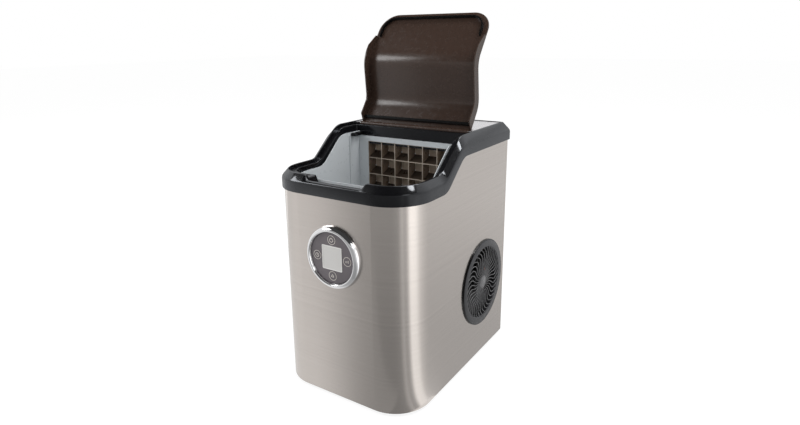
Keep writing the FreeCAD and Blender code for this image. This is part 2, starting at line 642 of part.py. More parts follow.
def make_lid():
    """Smoked lid with a stepped profile, side skirts and a rolled hinge barrel, shown open."""
    sheet = common("lid_sheet",
        prism("lid_sheet_side", "YZ", [lid_side("lid_sheet")], "-lid_half", "lid_half"),
        prism("lid_sheet_plan", "XY", [plan("lid_half", f"-{lid_length}", "2", "lid_corner")], "-100", "100"))
    inside = "lid_half - lid_skirt_wall"
    ring_front = f"-{lid_length} + lid_flange"
    stop = f"-{lid_length} + lid_corner + 12"
    skirt_band = [
        ("-4.5", "lid_rise - 1"), ("-lid_back", "lid_rise - 1", "lid_round"),
        ("-lid_back - lid_slope", "lid_rise - lid_fall - 1", "lid_round"),
        (stop, "lid_rise - lid_fall - 1"), (stop, "lid_rise - lid_fall - lid_skirt"),
        ("-lid_back - lid_slope - lid_skirt * 0.38", "lid_rise - lid_fall - lid_skirt", "lid_round + 8"),
        ("-lid_back - lid_skirt * 0.38", "lid_rise - lid_skirt", "lid_round / 2"),
        ("-14", "lid_rise - lid_skirt"), ("-4.5", "lid_rise - 6"),
    ]
    skirts = common("lid_skirts",
        prism("lid_skirt_side", "YZ", [skirt_band], "-lid_half", "lid_half"),
        prism("lid_skirt_plan", "XY", [rectangle("-lid_half", f"-{lid_length}", f"-({inside})", "10"),
                                       rectangle(inside, f"-{lid_length}", "lid_half", "10")], "-100", "100"))
    rib = common("lid_rib",
        prism("lid_rib_side", "YZ", [rectangle(ring_front, "lid_rise - lid_fall - lid_rib",
                                               f"{stop} + 1", "lid_rise - lid_fall - 1")],
              "-lid_half", "lid_half"),
        prism("lid_rib_plan", "XY",
              [plan("lid_half", ring_front, "0", "lid_corner - lid_flange / 2"),
               plan(inside, f"{ring_front} + lid_skirt_wall", "-1",
                    "lid_corner - lid_flange / 2 - lid_skirt_wall")],
              "-100", "100"))
    barrel = rod("lid_barrel", "x", ("0", "0"), "barrel_radius", "-lid_half + 1", "lid_half - 1")
    bore = rod("lid_bore", "x", ("0", "0"), "pin_radius + running_fit", "-lid_half", "lid_half")
    lid = cut("lid_cut", fuse("lid_body", sheet, skirts, rib, barrel), bore)
    lid.Placement = FreeCAD.Placement(FreeCAD.Vector(), FreeCAD.Rotation(axes["x"], 1))
    lid.setExpression("Placement.Rotation.Angle", bound("lid_open * -1"))
    locate(lid, "0", "lid_axis_y", "lid_axis_z")
    return stand(lid, "lid")


def make_lid_hinge_pins():
    pins = [rod("hinge_pin", "x", ("lid_axis_y", "lid_axis_z"), "pin_radius", low, high) for low, high in (
        ("throat_half + pin_seat - pin_length", "throat_half + pin_seat - 0.5"),
        ("0.5 - throat_half - pin_seat", "pin_length - throat_half - pin_seat"))]
    return stand(group("pins", *pins), "lid_hinge_pins")


def make_lid_bumpers():
    ledge = f"{crest_low} - ledge_drop"
    closed = "lid_axis_z + lid_rise - lid_fall - lid_sheet"
    spot = f"lid_axis_y - {lid_length} + lid_flange / 2 - 0.1"
    pads = [rod("bumper", "z", (f"{sign} * lid_half * 0.6", spot), "bumper_radius", ledge, f"{closed} - 0.3")
            for sign in ("-1", "1")]
    return stand(group("bumpers", *pads), "lid_bumpers")


# ---- ice bin ----

def bin_side(wall, top):
    """Side section of the bin: tank below, slope under the mould, tall back."""
    return [(f"bin_front - {wall}", f"bin_floor - {wall}"), (f"bin_rear + {wall}", f"bin_floor - {wall}"),
            (f"bin_rear + {wall}", f"slope_foot - {wall} * 0.6"),
            (f"bin_back + {wall}", f"slope_head - {wall} * 0.6"),
            (f"bin_back + {wall}", top), (f"bin_front - {wall}", top)]


def make_bin_liner():
    """Inner tub: water tank, ice bin and mould bay in one moulding, with a drip gutter round its lip."""
    lip = ("lip_front", "lip_rear", "lip_ramp_front", "lip_ramp_rear")
    outside = common("tub_outside",
        prism("tub_side", "YZ", [bin_side("bin_wall", "case_rear + 60")], "-bin_half - bin_wall",
              "bin_half + bin_wall"),
        prism("tub_plan", "XY", [plan("bin_half + bin_wall", "bin_front - bin_wall", "bin_back + bin_wall",
                                      "bin_corner + bin_wall")], "0", "case_rear + 60"))
    inside = common("tub_inside",
        prism("hollow_side", "YZ", [bin_side("0", "case_rear + 60")], "-bin_half", "bin_half"),
        prism("hollow_plan", "XY", [plan("bin_half", "bin_front", "bin_back", "bin_corner")], "0",
              "case_rear + 60"))
    flange_out = "throat_half + rim_wall + 6"
    gutter_side = ramp_profile(*lip, "0", "-20", "throat_rear", "gutter")
    gutter_foot = ramp_profile(*lip, "-5", "-25", "throat_rear + 5", "(gutter + bin_wall)")
    gutter = cut("gutter",
        common("gutter_slab",
            prism("gutter_side", "YZ", [gutter_side], f"-({flange_out})", flange_out),
            prism("gutter_plan", "XY", [plan(flange_out, "bin_front - bin_wall - rim_wall - 4", "throat_rear",
                                             "throat_corner + 8")], "0", "case_rear + 60")),
        prism("gutter_foot", "YZ", [gutter_foot], f"-({flange_out}) - 5", f"{flange_out} + 5"))
    over = prism("over_lip", "YZ", [above_ramp(*lip, "-20", "case_depth")], "-bin_half - 30", "bin_half + 30")
    side_hole = rod("spray_port", "x", (spray_y, spray_z), "spray_radius + 0.3",
                    "-bin_half - 5", "-bin_half + 5")
    ports = [rod("coil_port", "y", (f"{coil_x} + 1.2", z), "coil_radius + 2.8", "bin_back - 2",
                 "bin_back + 4")
             for z in (coil_top, coil_low)]
    ports.append(rod("pump_port", "y", ("-pump_x", "spigot_height"), "spigot_radius", "bin_rear - 2",
                     "bin_rear + 4"))
    ports.append(rod("drain_port", "y", ("drain_x", "drain_height"), "drain_radius", "bin_rear - 2",
                     "bin_rear + 4"))
    liner = cut("liner", fuse("liner_body", outside, gutter), inside, over, side_hole, *ports)
    return stand(liner, "bin_liner")


def make_bin_insulation():
    """Foam under, in front of and beside the tub."""
    gap = "foam_gap"
    outer = prism("foam_block", "XY", [plan(f"{inner_half} - 0.5", "case_sheet + 0.5", foam_rear,
                                            "case_corner - case_sheet - 0.5")],
                  "pan_floor", "lip_front - gutter - bin_wall - 4")
    cavity = common("foam_cavity",
        prism("foam_side", "YZ", [bin_side("(bin_wall + foam_gap)", "case_rear")],
              f"-bin_half - bin_wall - {gap}", f"bin_half + bin_wall + {gap}"),
        prism("foam_plan", "XY", [plan(f"bin_half + bin_wall + {gap}", f"bin_front - bin_wall - {gap}",
                                       f"bin_back + bin_wall + {gap}", f"bin_corner + bin_wall + {gap}")],
              f"bin_floor - bin_wall", "case_rear"))
    tray_wall = cut("tray_wall_room",
        prism("tray_room", "XY", [rectangle("-case_width", "-5", "case_width", "case_depth")],
              "pan_floor - 1", "pan_height + 0.5"),
        prism("tray_inner", "XY", [plan(f"{inner_half} - pan_wall - 0.8", "case_sheet + pan_wall + 0.8",
                                        "case_depth",
                                        "case_corner - case_sheet - pan_wall - 0.8")], "0", "pan_height + 1"))
    dial = rod("dial_room", "y", ("0", "dial_height"), "bezel_bore + 2", "0", "housing_deep + 2")
    studs = [rod("stud_room", "z", (x, "foot_inset"), "stud_radius + 1", "0", "pan_floor + 2.5")
             for x in (f"{half_width} - foot_inset", f"foot_inset - {half_width}")]
    pump = rod("pump_way", "y", ("-pump_x", "spigot_height"), "spigot_radius + 0.3", "bin_rear",
               f"{foam_rear} + 1")
    drain = rod("drain_way", "y", ("drain_x", "drain_height"), "drain_radius + 0.3", "bin_rear",
                f"{foam_rear} + 1")
    over_slope = block("slope_room", ("-case_width", "case_width"),
                       (f"bin_rear + bin_wall", f"{foam_rear} + 5"),
                       ("slope_foot - rear_foam * 2", "case_rear"))
    return stand(cut("foam", outer, cavity, tray_wall, dial, pump, drain, over_slope, *studs),
                 "bin_insulation")


def make_rear_insulation():
    """Foam behind the mould bay and under its slope."""
    near = "(bin_wall + foam_gap)"
    far = "(bin_wall + foam_gap + rear_foam)"
    section = [(f"bin_rear + {near}", f"slope_foot - {near} * 0.6"),
               (f"bin_back + {near}", f"slope_head - {near} * 0.6"), (f"bin_back + {near}", "lip_rear - 12"),
               (f"bin_back + {far}", "lip_rear - 12"), (f"bin_back + {far}", f"slope_head - {far} * 0.9"),
               (f"bin_rear + {near}", f"slope_foot - {far} * 0.9 - 3")]
    slab = prism("rear_slab", "YZ", [section], "-bin_half", "bin_half")
    ports = [rod("line_way", "y", (coil_x, z), "coil_radius + 0.5", "bin_back", f"{foam_back} + 5")
             for z in (coil_top, coil_low)]
    return stand(cut("rear_foam_cut", slab, *ports), "rear_insulation")


def make_ice_basket():
    """Lift-out basket with slotted floor and finger slots in its ends."""
    basket = body("basket")
    top = "basket_floor + basket_height"
    pad(basket, "XY", [basket_plan("0")], "basket_floor", top)
    pocket(basket, "XY", [basket_plan("basket_wall")], "basket_floor + basket_wall", f"{top} + 5")
    slots = [rectangle(f"{x} * 15 - 3", "basket_front + 20", f"{x} * 15 + 3", "basket_rear - 16")
             for x in range(-5, 6)]
    pocket(basket, "XY", slots, "basket_floor - 2", "basket_floor + basket_wall + 2")
    grip = [(f"basket_front + 36", f"{top} - 30", "6"), ("basket_rear - 24", f"{top} - 30", "6"),
            ("basket_rear - 24", f"{top} - 14", "6"), ("basket_front + 36", f"{top} - 14", "6")]
    pocket(basket, "YZ", [grip], "-basket_half - 5", "basket_half + 5")
    return stand(basket, "ice_basket")


def basket_plan(wall):
    return [(f"{wall} - basket_half", f"basket_rear - {wall}", "6"),
            (f"{wall} - basket_half", f"basket_front + {wall}", f"basket_corner - {wall}"),
            (f"basket_half - {wall}", f"basket_front + {wall}", f"basket_corner - {wall}"),
            (f"basket_half - {wall}", f"basket_rear - {wall}", "6")]


def make_basket_rails():
    """Two ledges on the tub's sides that carry the basket over the water."""
    top = "basket_floor - 0.2"
    rails = [prism("rail", "XY", [rectangle(f"{low}", "bin_front + bin_corner + 4", f"{high}",
                                            "bin_rear - 4")],
                   f"{top} - rail_height", top)
             for low, high in (("basket_half - rail_grip", "bin_half"),
                               ("-bin_half", "rail_grip - basket_half"))]
    return stand(group("rails", *rails), "basket_rails")


def make_ice_slide():
    """Slotted ramp under the mould: ice slides forward, water falls through."""
    low = "(bin_rear + 3)"
    high = "(bin_back - 20)"
    at_low = f"(slope_foot + 3 * {slope} + foam_gap)"
    at_high = f"(slope_head - 20 * {slope} + foam_gap)"

    def band(bottom, top):
        return [(low, f"{at_low} + {bottom}"), (high, f"{at_high} + {bottom}"), (high, f"{at_high} + {top}"),
                (low, f"{at_low} + {top}")]
    plate = prism("slide_plate", "YZ", [band("slide_lift", "slide_lift + slide_sheet")], "-slide_half",
                  "slide_half")
    pitch = "(2 * (slide_half - 8) / slide_slots)"
    slots = [rectangle(f"8 - slide_half + {i} * {pitch} + 2", f"{low} + 8",
                       f"8 - slide_half + {i + 1} * {pitch} - 2", f"{high} - 8")
             for i in range(sizes["slide_slots"])]
    grid = cut("slide_grid", plate, prism("slide_slots", "XY", slots, "0", "case_rear"))
    rails = [prism("slide_rail", "YZ", [band("0", "slide_lift + 1")], x0, x1)
             for x0, x1 in (("-slide_half", "4 - slide_half"), ("-2", "2"), ("slide_half - 4", "slide_half"))]
    return stand(fuse("slide", grid, *rails), "ice_slide")


def make_evaporator_frame():
    """Pale surround that holds the mould in front of the tub's back wall."""
    low = f"{mould_low} - 4"
    outer = block("frame_block", ("0.4 - bin_half", "bin_half - 0.4"),
                  ("mould_front - 0.6", "bin_back - 0.2"),
                  (low, "frame_top"))
    window = block("frame_window", (f"-{mould_half} - 0.2", f"{mould_half} + 0.2"),
                   ("mould_front - 5", "bin_back + 5"),
                   (f"{mould_low} - 0.2", "mould_top + 0.2"))
    hollow = block("frame_hollow", ("0.4 + frame_edge - bin_half", "bin_half - 0.4 - frame_edge"),
                   ("mould_front - 0.6 + frame_lip", "bin_back + 5"),
                   (f"{mould_low} - 1.6", "frame_top - frame_edge"))
    port = rod("frame_port", "x", (spray_y, spray_z), "spray_radius + 0.1", "-bin_half - 5", "-bin_half + 10")
    return stand(cut("frame", outer, window, hollow, port), "evaporator_frame")


def make_ice_grid():
    """Mould: slanted shelves with short uprights between them, one open cell per cube."""
    front = "mould_front"
    back = "(mould_front + mould_deep)"
    wall = "cell_wall / 2"
    rows = sizes["cell_rows"]
    levels = [f"({mould_low} + {row} * cell_height)" for row in range(rows)]
    shelves = []
    for row, level in enumerate(levels):
        under = f"{level} - {wall}" if row else level
        shelf = [(front, under), (back, f"{under} + cell_tilt"),
                 (back, f"{level} + {wall} + cell_tilt"), (front, f"{level} + {wall}")]
        shelves.append(prism("shelf", "YZ", [shelf], f"-{mould_half}", mould_half))
    shelves.append(block("shelf_top", (f"-{mould_half}", mould_half), (front, back),
                         (f"mould_top - {wall}", "mould_top")))
    uprights = []
    for row, level in enumerate(levels):
        last = row == rows - 1
        above = f"mould_top - {wall}" if last else f"{level} + cell_height - {wall}"
        above_back = above if last else f"{above} + cell_tilt"
        side = [(front, f"{level} + {wall}"), (back, f"{level} + {wall} + cell_tilt"), (back, above_back),
                (front, above)]
        for column in range(sizes["cell_columns"] + 1):
            line = f"({column} * cell_width - {mould_half})"
            low = f"-{mould_half}" if column == 0 else f"{line} - {wall}"
            high = mould_half if column == sizes["cell_columns"] else f"{line} + {wall}"
            uprights.append(prism("upright", "YZ", [side], low, high))
    return stand(group("mould", *shelves, *uprights), "ice_grid")


def make_evaporator_plate():
    back = "mould_front + mould_deep"
    plate = block("cold_plate", (f"-{mould_half} - 4", f"{mould_half} + 4"), (back, f"{back} + plate_sheet"),
                  (f"{mould_low} - 1.4", "mould_top + 1.6"))
    return stand(plate, "evaporator_plate")


def make_evaporator_coil():
    """Serpentine tube soldered to the cold plate, with both ends led out at the back."""
    out = f"{foam_back} + 5"
    left = coil_x
    right = f"-({coil_x})"
    route = [(left, out, coil_top)]
    for run in range(sizes["coil_runs"]):
        z = f"{coil_top} - {run} * coil_pitch"
        ends = (left, right) if run % 2 == 0 else (right, left)
        route += [(end, coil_y, z) for end in ends]
    route.append((left, out, coil_low))
    return stand(pipe("coil", route, "coil_radius - 0.05", "coil_bend"), "evaporator_coil")


def make_water_distributor():
    """Sprinkler tube over the mould, fed from the left."""
    start = "-bin_half - bin_wall - 1.5"
    tube = rod("spray_tube", "x", (spray_y, spray_z), "spray_radius", start, f"{mould_half}")
    bore = rod("spray_bore", "x", (spray_y, spray_z), "spray_radius - 1", f"{start} - 5", f"{mould_half} - 2")
    holes = [rod("spray_hole", "z", (f"{i} * cell_width / 2 - {mould_half} + cell_width / 4", spray_y),
                 "spray_hole",
                 f"{spray_z} - spray_radius - 2", spray_z) for i in range(2 * sizes["cell_columns"])]
    return stand(cut("spray", tube, bore, *holes), "water_distributor")


def make_ice_sensor():
    """Full-bin sensor that hangs at the left of the throat."""
    left = "0.3 - bin_half"
    cap = block("sensor_cap", (left, f"{left} + 9"), ("mould_front - 24", "mould_front - 2"),
                ("lip_rear - 13", "lip_rear - 1"))
    eyes = [rod("sensor_eye", "z", (f"{left} + 4.5", f"mould_front - {y}"), "3", "lip_rear - 17",
                "lip_rear - 13")
            for y in (19, 8)]
    return stand(fuse("sensor", cap, *eyes), "ice_full_sensor")


def make_level_probes():
    probes = [rod("probe", "y", (f"{x} - pump_x", "bin_floor + 30"), "probe_radius", "bin_rear - 14",
                  "bin_rear - 0.2")
              for x in (10, 24)]
    return stand(group("probes", *probes), "water_level_probes")


# ---- pump and drain ----

def make_pump_housing():
    """Centrifugal pump: a round chamber with a motor can on top, piped to the tank."""
    base = "(spigot_height - 11)"
    roof = "(spigot_height + 7)"
    can = rod("pump_can", "z", ("-pump_x", "pump_y"), "pump_radius", base, "pump_height")
    foot = block("pump_foot", ("-pump_x - 12", "12 - pump_x"), ("pump_y - 12", "pump_y + 12"),
                 ("pan_floor", base))
    inlet = rod("pump_inlet", "y", ("-pump_x", "spigot_height"), "spigot_radius - 0.2", "bin_rear + 0.3",
                "pump_y")
    outlet = rod("pump_outlet", "y", ("-pump_x", "spigot_height"), "hose_radius", "pump_y",
                 "pump_y + pump_radius + 6")
    chamber = rod("pump_room", "z", ("-pump_x", "pump_y"), "pump_chamber", f"{base} + 3", roof)
    shaft = rod("pump_shaft_bore", "z", ("-pump_x", "pump_y"), "shaft_radius + running_fit", roof,
                f"{roof} + 14")
    bore = rod("pump_bore", "y", ("-pump_x", "spigot_height"), "spigot_radius - 2", "bin_rear - 2",
               "pump_y + pump_radius + 8")
    return stand(cut("pump", fuse("pump_body", can, foot, inlet, outlet), chamber, shaft, bore),
                 "pump_housing")


def make_pump_impeller():
    base = "(spigot_height - 7)"
    disc = rod("impeller_disc", "z", ("-pump_x", "pump_y"), "pump_chamber - 1", base, f"{base} + 1.5")
    hub = rod("impeller_hub", "z", ("-pump_x", "pump_y"), "3", base, f"{base} + 11")
    shaft = rod("impeller_shaft", "z", ("-pump_x", "pump_y"), "shaft_radius", base, f"{base} + 24")
    vanes = []
    for i in range(5):
        vane = add("Part::Box", "vane")
        for side, text in (("Length", "pump_chamber - 1.3"), ("Width", "1.2"), ("Height", "8")):
            vane.setExpression(side, bound(text))
        vane.Placement = FreeCAD.Placement(FreeCAD.Vector(), FreeCAD.Rotation(axes["z"], 72 * i + 10))
        vanes.append(locate(vane, "-pump_x", "pump_y", base))
    return stand(fuse("impeller", disc, hub, shaft, *vanes), "pump_impeller")


def make_pump_hose():
    start = "pump_y + pump_radius + 6"
    side = "(0 - bin_half - bin_wall - 10)"
    port = "(0 - bin_half - bin_wall - 1.5)"
    route = [("-pump_x", start, "spigot_height"), ("-pump_x", spray_y, "spigot_height"),
             (side, spray_y, "spigot_height"), (side, spray_y, spray_z), (port, spray_y, spray_z)]
    return stand(pipe("hose", route, "hose_radius", "hose_bend"), "pump_hose")


def make_drain_tube():
    """Straight tube from the tank to the back panel."""
    start = "bin_rear + 0.2"
    tube = rod("drain_pipe", "y", ("drain_x", "drain_height"), "drain_radius - 0.2", start, "case_depth")
    return stand(cut("drain", tube, rod("drain_bore", "y", ("drain_x", "drain_height"), "drain_radius - 2",
                                        f"{start} - 5", "case_depth + 5")), "drain_tube")


def make_drain_plug():
    cap = rod("plug_cap", "y", ("drain_x", "drain_height"), "drain_radius + 2", "case_depth + 0.3", rear_edge)
    stem = rod("plug_stem", "y", ("drain_x", "drain_height"), "drain_radius - 2.08", "case_depth - 10",
               "case_depth + 0.3")
    return stand(fuse("plug", cap, stem), "drain_plug")


# ---- control panel ----

def make_control_bezel():
    """Turned ring with a rounded crown and a sleeve through the steel."""
    ring = body("bezel")
    out = "bezel_proud * -1"
    sleeve = "bezel_bore + sleeve_wall"
    profile = [("bezel_bore", "housing_deep - 4"), ("bezel_bore", "face_sink - bezel_proud"),
               ("bezel_bore + 2", out, "1.5"), ("bezel_radius - 2.4", out, "4"),
               ("bezel_radius", "0"), (sleeve, "0"), (sleeve, "housing_deep - 4")]
    revolve(ring, "XY", [profile], "Y")
    locate(ring, "0", "0", "dial_height")
    return stand(ring, "control_bezel")


def make_control_housing():
    """Cup in the bezel's sleeve that carries the face and the board."""
    back = f"{face_y} + face_sheet"
    cup = body("cup")
    pad(cup, "XZ", (), back, "housing_deep", [("0", "0", "bezel_bore - 0.1")])
    pocket(cup, "XZ", (), f"{back} - 1", "housing_deep - 2", [("0", "0", "bezel_bore - 2.1")])
    posts = [(f"{a} * post_place", f"{b} * post_place", "2.5") for a in (-1, 1) for b in (-1, 1)]
    pad(cup, "XZ", (), "5 + board_sheet", "housing_deep - 2", posts)
    locate(cup, "0", "0", "dial_height")
    return stand(cup, "control_housing")


key_spots = {
    "power_key": ("0", "key_ring"), "timer_key": ("0 - key_ring", "0"),
    "size_key": ("key_ring", "0"), "clean_key": ("0", "0 - key_ring"),
}


def make_control_panel():
    """Round face with the display window and a hole for each key."""
    face = body("face")
    window = rectangle("0 - window_width / 2", "0 - window_height / 2", "window_width / 2",
                       "window_height / 2")
    pad(face, "XZ", (), face_y, f"{face_y} + face_sheet", [("0", "0", "bezel_bore - 0.1")])
    pocket(face, "XZ", [window], f"{face_y} - 1", f"{face_y} + face_sheet + 1",
           [(x, z, "key_radius + key_gap") for x, z in key_spots.values()])
    locate(face, "0", "0", "dial_height")
    return stand(face, "control_panel")


def make_display_window():
    edge = "0.15"
    pane = block("pane", (f"{edge} - window_width / 2", f"window_width / 2 - {edge}"),
                 (f"{face_y} - 0.1", f"{face_y} + face_sheet - 0.2"),
                 (f"dial_height + {edge} - window_height / 2", f"dial_height + window_height / 2 - {edge}"))
    return stand(pane, "display_window")


def make_display_screen():
    screen = block("screen", ("0 - window_width / 2 - 1", "window_width / 2 + 1"),
                   (f"{face_y} + face_sheet", "5"),
                   ("dial_height - window_height / 2 - 1", "dial_height + window_height / 2 + 1"))
    return stand(screen, "display_screen")


def make_display_board():
    """Round board on the cup's posts, with a switch behind each key."""
    board = rod("board_disc", "y", ("0", "dial_height"), "bezel_bore - 3", "5", "5 + board_sheet")
    switches = [rod("switch", "y", (x, f"dial_height + {z}"), "2.5", "2.5", "5") for x,
                z in key_spots.values()]
    return stand(fuse("board", board, *switches), "display_board")


def make_key(label):
    x, z = key_spots[label]
    place = (x, f"dial_height + {z}")
    top = rod("key_top", "y", place, "key_radius", f"{face_y} - 0.3", f"{face_y} + face_sheet - 0.2")
    stem = rod("key_stem", "y", place, "2", f"{face_y} + face_sheet - 0.2", "2.4 - key_travel")
    return stand(fuse("key", top, stem), label)


# ---- fan ----

def make_fan_grille():
    """Round guard: flange outside the steel, swept slats and a plain hub."""
    guard = body("guard")
    low = f"{inner_half} - 1.2"
    pad(guard, "YZ", (), half_width, grille_face, [("0", "0", "grille_radius"), ("0", "0", "grille_open")])
    pad(guard, "YZ", (), low, f"{half_width} + 0.5",
        [("0", "0", "grille_open + 0.7"), ("0", "0", "grille_open - 1.3")])
    pad(guard, "YZ", (), low, f"{half_width} + 1.6", [("0", "0", "grille_hub")])
    half = "slat_width / 2"
    bow = "grille_open * 0.14"
    slat = [("grille_hub - 2", f"-{half}"), ("grille_open * 0.5", f"{bow} - {half}"),
            ("grille_open - 0.5", f"-{half}"),
            ("grille_open - 0.5", half), ("grille_open * 0.5", f"{bow} + {half}"), ("grille_hub - 2", half)]
    first = pad(guard, "YZ", [slat], low, f"{half_width} + 0.8")
    polar(guard, first, "X", "grille_slats")
    locate(guard, "0", "fan_y", "fan_z")
    return stand(guard, "fan_grille")


def make_fan_frame():
    """Square frame with a round duct and four struts to the motor seat."""
    frame = body("duct")
    side = "fan_square / 2"
    corner = "6"
    square = [(f"-{side}", f"-{side}", corner), (side, f"-{side}", corner), (side, side, corner),
              (f"-{side}", side, corner)]
    pad(frame, "YZ", [square], fan_in, fan_out)
    pocket(frame, "YZ", (), f"{fan_in} - 1", f"{fan_out} + 1", [("0", "0", "fan_bore")])
    pad(frame, "YZ", (), fan_in, f"{fan_in} + 3", [("0", "0", "fan_hub - 4")])
    strut = pad(frame, "YZ", [rectangle("fan_hub - 6", "-2.5", "fan_bore + 1", "2.5")], fan_in,
                f"{fan_in} + 3")
    polar(frame, strut, "X", "4")
    locate(frame, "0", "fan_y", "fan_z")
    return stand(frame, "fan_frame")


def make_fan_motor():
    low = f"{fan_in} + 3"
    motor = rod("stator", "x", ("fan_y", "fan_z"), "fan_hub - 6", low, f"{low} + 12")
    bore = rod("stator_bore", "x", ("fan_y", "fan_z"), "shaft_radius + running_fit", f"{low} - 1",
               f"{low} + 13")
    return stand(cut("motor", motor, bore), "fan_motor")


def make_fan_rotor():
    """Hub cup and seven pitched blades on a short shaft."""
    low = f"{fan_in} + 4.5"
    high = f"{fan_out} - 2.5"
    centre = ("fan_y", "fan_z")
    hub = cut("hub_cup", rod("hub", "x", centre, "fan_hub", low, high),
              rod("hub_hollow", "x", centre, "fan_hub - 2", f"{low} - 1", f"{high} - 3"))
    shaft = rod("rotor_shaft", "x", centre, "shaft_radius", low, high)
    blades = []
    for i in range(sizes["fan_blades"]):
        blade = add("Part::Box", "blade")
        for side, text in (("Length", "1.6"), ("Width", "22"),
                           ("Height", "fan_bore - fan_tip_gap - fan_hub + 4")):
            blade.setExpression(side, bound(text))
        pitch = FreeCAD.Rotation(axes["z"], 45)
        centred = FreeCAD.Placement(FreeCAD.Vector(-0.8, -11, 0), FreeCAD.Rotation())
        seat = FreeCAD.Placement(FreeCAD.Vector(0, 0, num("fan_hub - 2.5")), pitch)
        spun = FreeCAD.Placement(FreeCAD.Vector(), FreeCAD.Rotation(axes["x"], 360 / sizes["fan_blades"] * i))
        blade.Placement = spun * seat * centred
        blades.append(blade)
    disc = rod("blade_room", "x", ("0", "0"), "fan_bore - fan_tip_gap", "-20", "20")
    ring = common("blades", fuse("blade_set", *blades), disc)
    locate(ring, f"({low} + {high}) / 2", "fan_y", "fan_z")
    trim = rod("blade_trim", "x", centre, "fan_hub - 1", f"{low} - 5", f"{high} + 5")
    return stand(fuse("rotor", hub, shaft, cut("blade_ring", ring, trim)), "fan_rotor")


def make_fan_shroud():
    """Collar that carries the air from the condenser to the fan."""
    shroud = body("collar")
    side = "fan_square / 2 + 1"
    square = [(f"-({side})", f"-({side})"), (side, f"-({side})"), (side, side), (f"-({side})", side)]
    pad(shroud, "YZ", [square], shroud_in, fan_in)
    pocket(shroud, "YZ", (), f"{shroud_in} - 1", f"{fan_in} + 1", [("0", "0", "fan_bore")])
    locate(shroud, "0", "fan_y", "fan_z")
    return stand(shroud, "fan_shroud")


# ---- refrigeration ----

fin_x = (f"{fin_mid} - fin_deep / 2", f"{fin_mid} + fin_deep / 2")
fin_z = ("fan_z - fan_square / 2", "fan_z + fan_square / 2 - 1")
cond_levels = [f"(fan_z + cond_pitch * {i})" for i in (2, 1, 0, -1, -2)]
fin_first = "(fan_y - fan_square / 2 + 1)"
fin_pitch = "((fan_square - 2 - fin_sheet) / (fin_count - 1))"


def make_condenser_fins():
    fins = []
    for i in range(sizes["fin_count"]):
        low = f"{fin_first} + {i} * {fin_pitch}"
        fins.append(block("fin", fin_x, (low, f"{low} + fin_sheet"), fin_z))
    tubes = [rod("fin_hole", "y", (fin_mid, z), "cond_radius", "bin_rear", "case_depth") for z in cond_levels]
    return stand(cut("fins", fuse("fin_pack", *fins), *tubes), "condenser_fins")


def make_condenser_tube():
    """Serpentine through the fins, from the discharge line to the drier."""
    front = f"({fin_first} - 13)"
    back = f"({fin_first} + fan_square + 11)"
    side = f"({fin_mid} - fin_deep / 2 - 8)"
    route = [(side, front, cond_levels[0])]
    for i, z in enumerate(cond_levels):
        ends = (front, back) if i % 2 == 0 else (back, front)
        route += [(fin_mid, end, z) for end in ends]
    route += [(drier_x, back, cond_levels[-1]), (drier_x, back, drier_low)]
    return stand(pipe("cond_pipe", route, "cond_radius", "8"), "condenser_tube")


drier_x = f"({fin_mid} - fin_deep / 2 - 30)"
drier_y = f"({fin_first} + fan_square + 11)"
drier_low = "(fan_z - 2 * cond_pitch + 14)"
drier_high = "(fan_z - 2 * cond_pitch + 14 + drier_length)"


def make_condenser_end_plates():
    """Plates at each end of the fins that stand on the base tray."""
    plates = []
    for low in (f"{fin_first} - 2 - end_plate", f"{fin_first} + fan_square - 2 + 1"):
        plates.append(block("end_plate", fin_x, (low, f"{low} + end_plate"), ("pan_floor", fin_z[1])))
    tubes = [rod("plate_hole", "y", (fin_mid, z), "cond_radius", "bin_rear",
                 "case_depth") for z in cond_levels]
    holes = cut("plate_pair", fuse("plates", *plates), *tubes)
    return stand(holes, "condenser_end_plates")


def make_compressor():
    """Welded shell, turned about its own upright axis."""
    shell = body("shell")
    r = "comp_radius"
    top = "comp_height"
    profile = [("0", "0"), (f"{r} * 0.6", "0"), (f"{r} - 2", "14", "12"), (r, "22"), (r, f"{top} - 30", "10"),
               (f"{r} * 0.62", f"{top} - 4", "14"), ("0", top)]
    revolve(shell, "XZ", [profile], "Z")
    locate(shell, "comp_x", "comp_y", comp_base)
    return stand(shell, "compressor")


def comp_corners():
    return [(f"comp_x + {a} * comp_bolt_x", f"comp_y + {b} * comp_bolt_y") for a in ("-1",
                                                                                     "1") for b in ("-1",
                                                                                                    "1")]


def make_compressor_plate():
    low = f"{comp_base} - comp_plate"
    plate = block("mount_plate", ("comp_x - comp_bolt_x - 9", "comp_x + comp_bolt_x + 9"),
                  ("comp_y - comp_bolt_y - 9", "comp_y + comp_bolt_y + 9"), (low, comp_base))
    holes = [rod("mount_hole", "z", spot, "3.2", f"{low} - 5", f"{comp_base} + 5") for spot in comp_corners()]
    return stand(cut("mount", plate, *holes), "compressor_plate")


def make_compressor_grommets():
    high = f"{comp_base} - comp_plate"
    grommets = [cut("grommet", rod("bush", "z", spot, "7.5", "pan_floor", high),
                    rod("bush_bore", "z", spot, "3", "pan_floor - 1",
                        f"{high} + 1")) for spot in comp_corners()]
    return stand(group("grommets", *grommets), "compressor_grommets")


def make_compressor_bolts():
    bolts = [fuse("bolt", rod("bolt_shank", "z", spot, "2.9", "pan_floor", comp_base),
                  rod("bolt_head", "z", spot, "5", comp_base, f"{comp_base} + 4")) for spot in comp_corners()]
    return stand(group("bolts", *bolts), "compressor_bolts")


